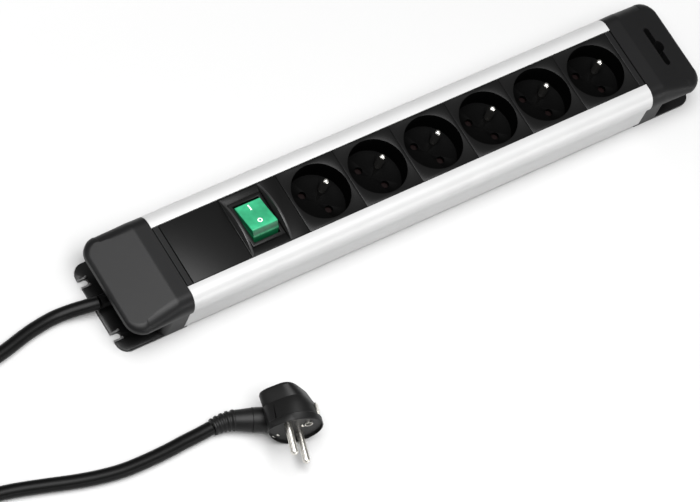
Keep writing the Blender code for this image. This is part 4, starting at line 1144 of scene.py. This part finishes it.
def add_plug_body():
    """Sections from face to back: depth, extent to the cord, away from it, half width, squareness."""
    stations = (
        (-1.6, 13.0, 16.6, 16.6, 0.0), (-1.5, 13.9, 17.4, 17.4, 0.0), (-0.2, 14.0, 17.5, 17.5, 0.0),
        (0.0, 14.3, 17.8, 17.8, 0.0), (-0.1, 14.5, 18.1, 18.0, 0.0), (-0.5, 14.6, 18.4, 18.2, 0.0),
        (-4.2, 14.6, 18.4, 18.2, 0.0), (-4.6, 14.5, 18.2, 18.0, 0.05), (-5.0, 14.1, 17.7, 17.4, 0.1),
        (-11.0, 14.1, 17.0, 16.4, 0.25), (-16.6, 14.0, 14.8, 15.2, 0.4), (-17.2, 13.9, 14.4, 15.0, 0.4),
        (-17.8, 14.0, 14.2, 15.2, 0.4), (-25.0, 14.2, 11.2, 16.6, 0.45), (-26.4, 13.8, 10.2, 16.2, 0.45),
        (-27.0, 12.8, 9.0, 15.2, 0.45),
    )
    body = loft("body", [plug_section(*station) for station in stations], PLUG_PLASTIC)
    neck_start = PLUG_AXES.inverted() @ (Vector(BOOT_ROUTE[0]) * MM)
    neck_next = PLUG_AXES.inverted() @ (Vector(BOOT_ROUTE[1]) * MM)
    towards = (neck_next - neck_start).normalized()
    neck = rod(
        "neck", neck_start - towards * 13 * MM, neck_start - towards * 0.3 * MM, 7.8 * MM, PLUG_PLASTIC, 40)
    body = combine(body, neck, "UNION")
    face = Vector((0.0, 0.0, 1.0))
    earth = Vector((-EARTH_CIRCLE, 0.0, 0.0))
    body = combine(body, rod("earth_tool", earth - face * 18 * MM, earth + face * MM, 2.7 * MM, None, 32))
    for way in (-1, 1):
        place = Vector((0.0, way * PIN_CIRCLE, 0.0))
        body = combine(body, rod("bore", place - face * 8 * MM, place + face * MM, 2.5 * MM, None, 32))
    for way in (-1, 1):
        groove = block("seam", (3.4 * MM, way * 20 * MM - 4.9 * MM, -17.5 * MM),
                       (4.3 * MM, way * 20 * MM + 4.9 * MM, -5.2 * MM), PLUG_PLASTIC)
        body = combine(body, groove)
    return in_plug(soften(body, 28.0))


plug_body = add_plug_body()
plug_body.name = "plug_moulding"
stands_for(plug_body, "strip", "plug_body", slot="plug_plastic")

# %% [markdown]
# The pins are nickel plated and 4.8 mm thick, 19 mm apart. An earth contact shows as a bright ring in the
# face and as flat springs in the plug's flanks. A ribbed boot carries the cord out: broad ribs where it may
# bend, and none next to the plug, where it should not.

# %% Pins, contacts and boot
def add_plug_pins():
    length = 19.0 * MM
    radius = 2.4 * MM
    sleeve = radius - 0.08 * MM
    root = -7.6 * MM
    profile = [(0.0, length)] + arc((0.0, length - radius), (radius, radius), 80.0, 0.0, 8)
    profile += [(radius, 10.0 * MM), (sleeve, 9.9 * MM), (sleeve, root), (0.0, root)]
    for way, label in ((1, "upper"), (-1, "lower")):
        place = PLUG_FACE + ACROSS * way * PIN_CIRCLE
        pin = turned("pin_" + label, profile, place, AHEAD, PIN_NICKEL, 32)
        stands_for(pin, "strip", "plug_pin_" + label, slot="nickel")


def add_plug_contacts():
    ring = turned("earth_ring", [
        (2.0 * MM, -0.9 * MM), (2.6 * MM, -0.9 * MM), (2.6 * MM, -9.0 * MM), (2.0 * MM, -9.0 * MM),
        (2.0 * MM, -0.9 * MM),
    ], (-EARTH_CIRCLE, 0.0, 0.0), (0, 0, 1), PIN_NICKEL, 32)
    clips = [ring]
    for u, depth in ((-18.2, 12.5), (13.6, 12.5), (-6.6, 1.9), (10.4, 1.9)):
        clip = block(
            "clip", (u * MM, -1.6 * MM, -depth * MM), ((u + 1.2) * MM, 1.6 * MM, -1.2 * MM), PIN_NICKEL)
        clips.append(round_edges(clip, 0.25 * MM))
    contacts = in_plug(join("plug_earth_contacts", clips))
    return stands_for(contacts, "strip", slot="nickel")


def boot_radius(share):
    """The boot tapers from the plug to the cord, smooth at first and then with ribs."""
    base = 7.6 * MM + (5.0 * MM - 7.6 * MM) * share
    smooth_share = 0.42
    if share < smooth_share:
        return base
    rib = math.sin((share - smooth_share) * math.tau * 4.5 / (1 - smooth_share))
    return base + 0.35 * MM * max(-1.0, min(1.0, 3.0 * rib)) + 0.1 * MM


def add_boot():
    route = smooth_route(BOOT_ROUTE, 0.35 * MM)
    radii = [boot_radius(number / (len(route) - 1)) for number in range(len(route))]
    boot = tube("boot", route, radii, PLUG_PLASTIC, 8)
    return stands_for(boot, "strip", "plug_boot", slot="plug_plastic")


add_plug_pins()
contacts = add_plug_contacts()
boot = add_boot()

# %% [markdown]
# ## Pieces that stay as the CAD model has them
#
# Shutters, bars, wires and screws are small or hidden. Their shape is right as it is, so they only get a
# finish. The object of a CAD node keeps its place, and a finish is set in its first material slot.

# %% Finishes for the remaining CAD pieces
CARRIED_OVER = {
    SHUTTER_RED: ["shutter_%d" % number for number in range(1, SOCKETS + 1)],
    SPRING_BRASS: [
        "live_busbar", "neutral_busbar", "earth_busbar", "live_bridge", "neutral_bridge", "live_terminal_in",
        "live_terminal_out", "neutral_terminal_in", "neutral_terminal_out",
    ],
    ZINC_STEEL: ["clamp_screw", "cap_screw_cord_left", "cap_screw_cord_right", "cap_screw_hanger_left",
                 "cap_screw_hanger_right"],
    NATURAL_PLASTIC: ["insulator_tray", "switch_base", "cord_clamp"],
    CORD_JACKET: ["cord_inner_end"],
    LIVE_INSULATION: ["live_wire_in", "live_wire_out"],
    NEUTRAL_INSULATION: ["neutral_wire_in", "neutral_wire_out"],
    EARTH_INSULATION: ["earth_wire"],
    GREEN_GLOW_AND_PAINTED_LIGHT: ["indicator_lamp"],
}
for finish, names in CARRIED_OVER.items():
    for name in names:
        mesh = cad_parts[name].data
        mesh.materials.clear()
        mesh.materials.append(finish)
print("%d CAD pieces kept" % sum(len(names) for names in CARRIED_OVER.values()))

# %% [markdown]
# ## Floor and light
#
# The strip stands on a plain white floor, in the even light of a studio. A wide panel overhead makes the
# flat top of the aluminium almost white, and because the panel stops, the shoulders grade to grey as they
# turn away from it. A long low panel in front, to the right, lifts the sides that face the camera, and a
# small weak one behind, to the left, adds a little light at the cord end.

# %% Floor
def add_floor():
    bm = bmesh.new()
    bmesh.ops.create_grid(bm, x_segments=1, y_segments=1, size=6.0)
    white = make_finish("floor_white", (0.49, 0.49, 0.49), 0.8, gloss=0.1, tint=0.0, uneven=0.02)
    floor = piece_from("floor", bm, white)
    floor.location.z = -0.05 * MM


def add_panel(name, place, target, size, power):
    data = bpy.data.lights.new(name, "AREA")
    data.shape = "RECTANGLE"
    data.size = size[0]
    data.size_y = size[1]
    data.energy = power
    panel = bpy.data.objects.new(name, data)
    bpy.context.scene.collection.objects.link(panel)
    panel.location = place
    panel.rotation_euler = (Vector(target) - Vector(place)).to_track_quat("-Z", "Y").to_euler()
    return panel


def set_surroundings(horizon, zenith):
    """A sky that brightens from the horizon to straight overhead."""
    world = bpy.data.worlds.new("studio")
    world.use_nodes = True
    nodes = world.node_tree.nodes
    links = world.node_tree.links
    background = nodes["Background"]
    place = nodes.new("ShaderNodeTexCoord")
    split = nodes.new("ShaderNodeSeparateXYZ")
    ramp = nodes.new("ShaderNodeValToRGB")
    ramp.color_ramp.elements[0].position = 0.25
    ramp.color_ramp.elements[0].color = (horizon, horizon, horizon, 1.0)
    ramp.color_ramp.elements[1].position = 1.0
    ramp.color_ramp.elements[1].color = (zenith, zenith, zenith, 1.0)
    links.new(place.outputs["Generated"], split.inputs["Vector"])
    links.new(split.outputs["Z"], ramp.inputs["Fac"])
    links.new(ramp.outputs["Color"], background.inputs["Color"])
    bpy.context.scene.world = world


add_floor()
set_surroundings(0.18, 0.4)
add_panel("overhead", (-0.35, -0.25, 2.0), (0.0, 0.0, 0.0), (1.7, 1.7), 88.0)
add_panel("right_front", (0.5, -1.6, 0.32), (0.0, 0.0, 0.0), (2.2, 0.3), 12.0)
add_panel("left_back", (-1.5, 0.6, 0.7), (-0.2, 0.0, 0.0), (1.0, 0.5), 3.0)
bpy.context.scene.view_settings.view_transform = "Standard"
print("Studio ready")
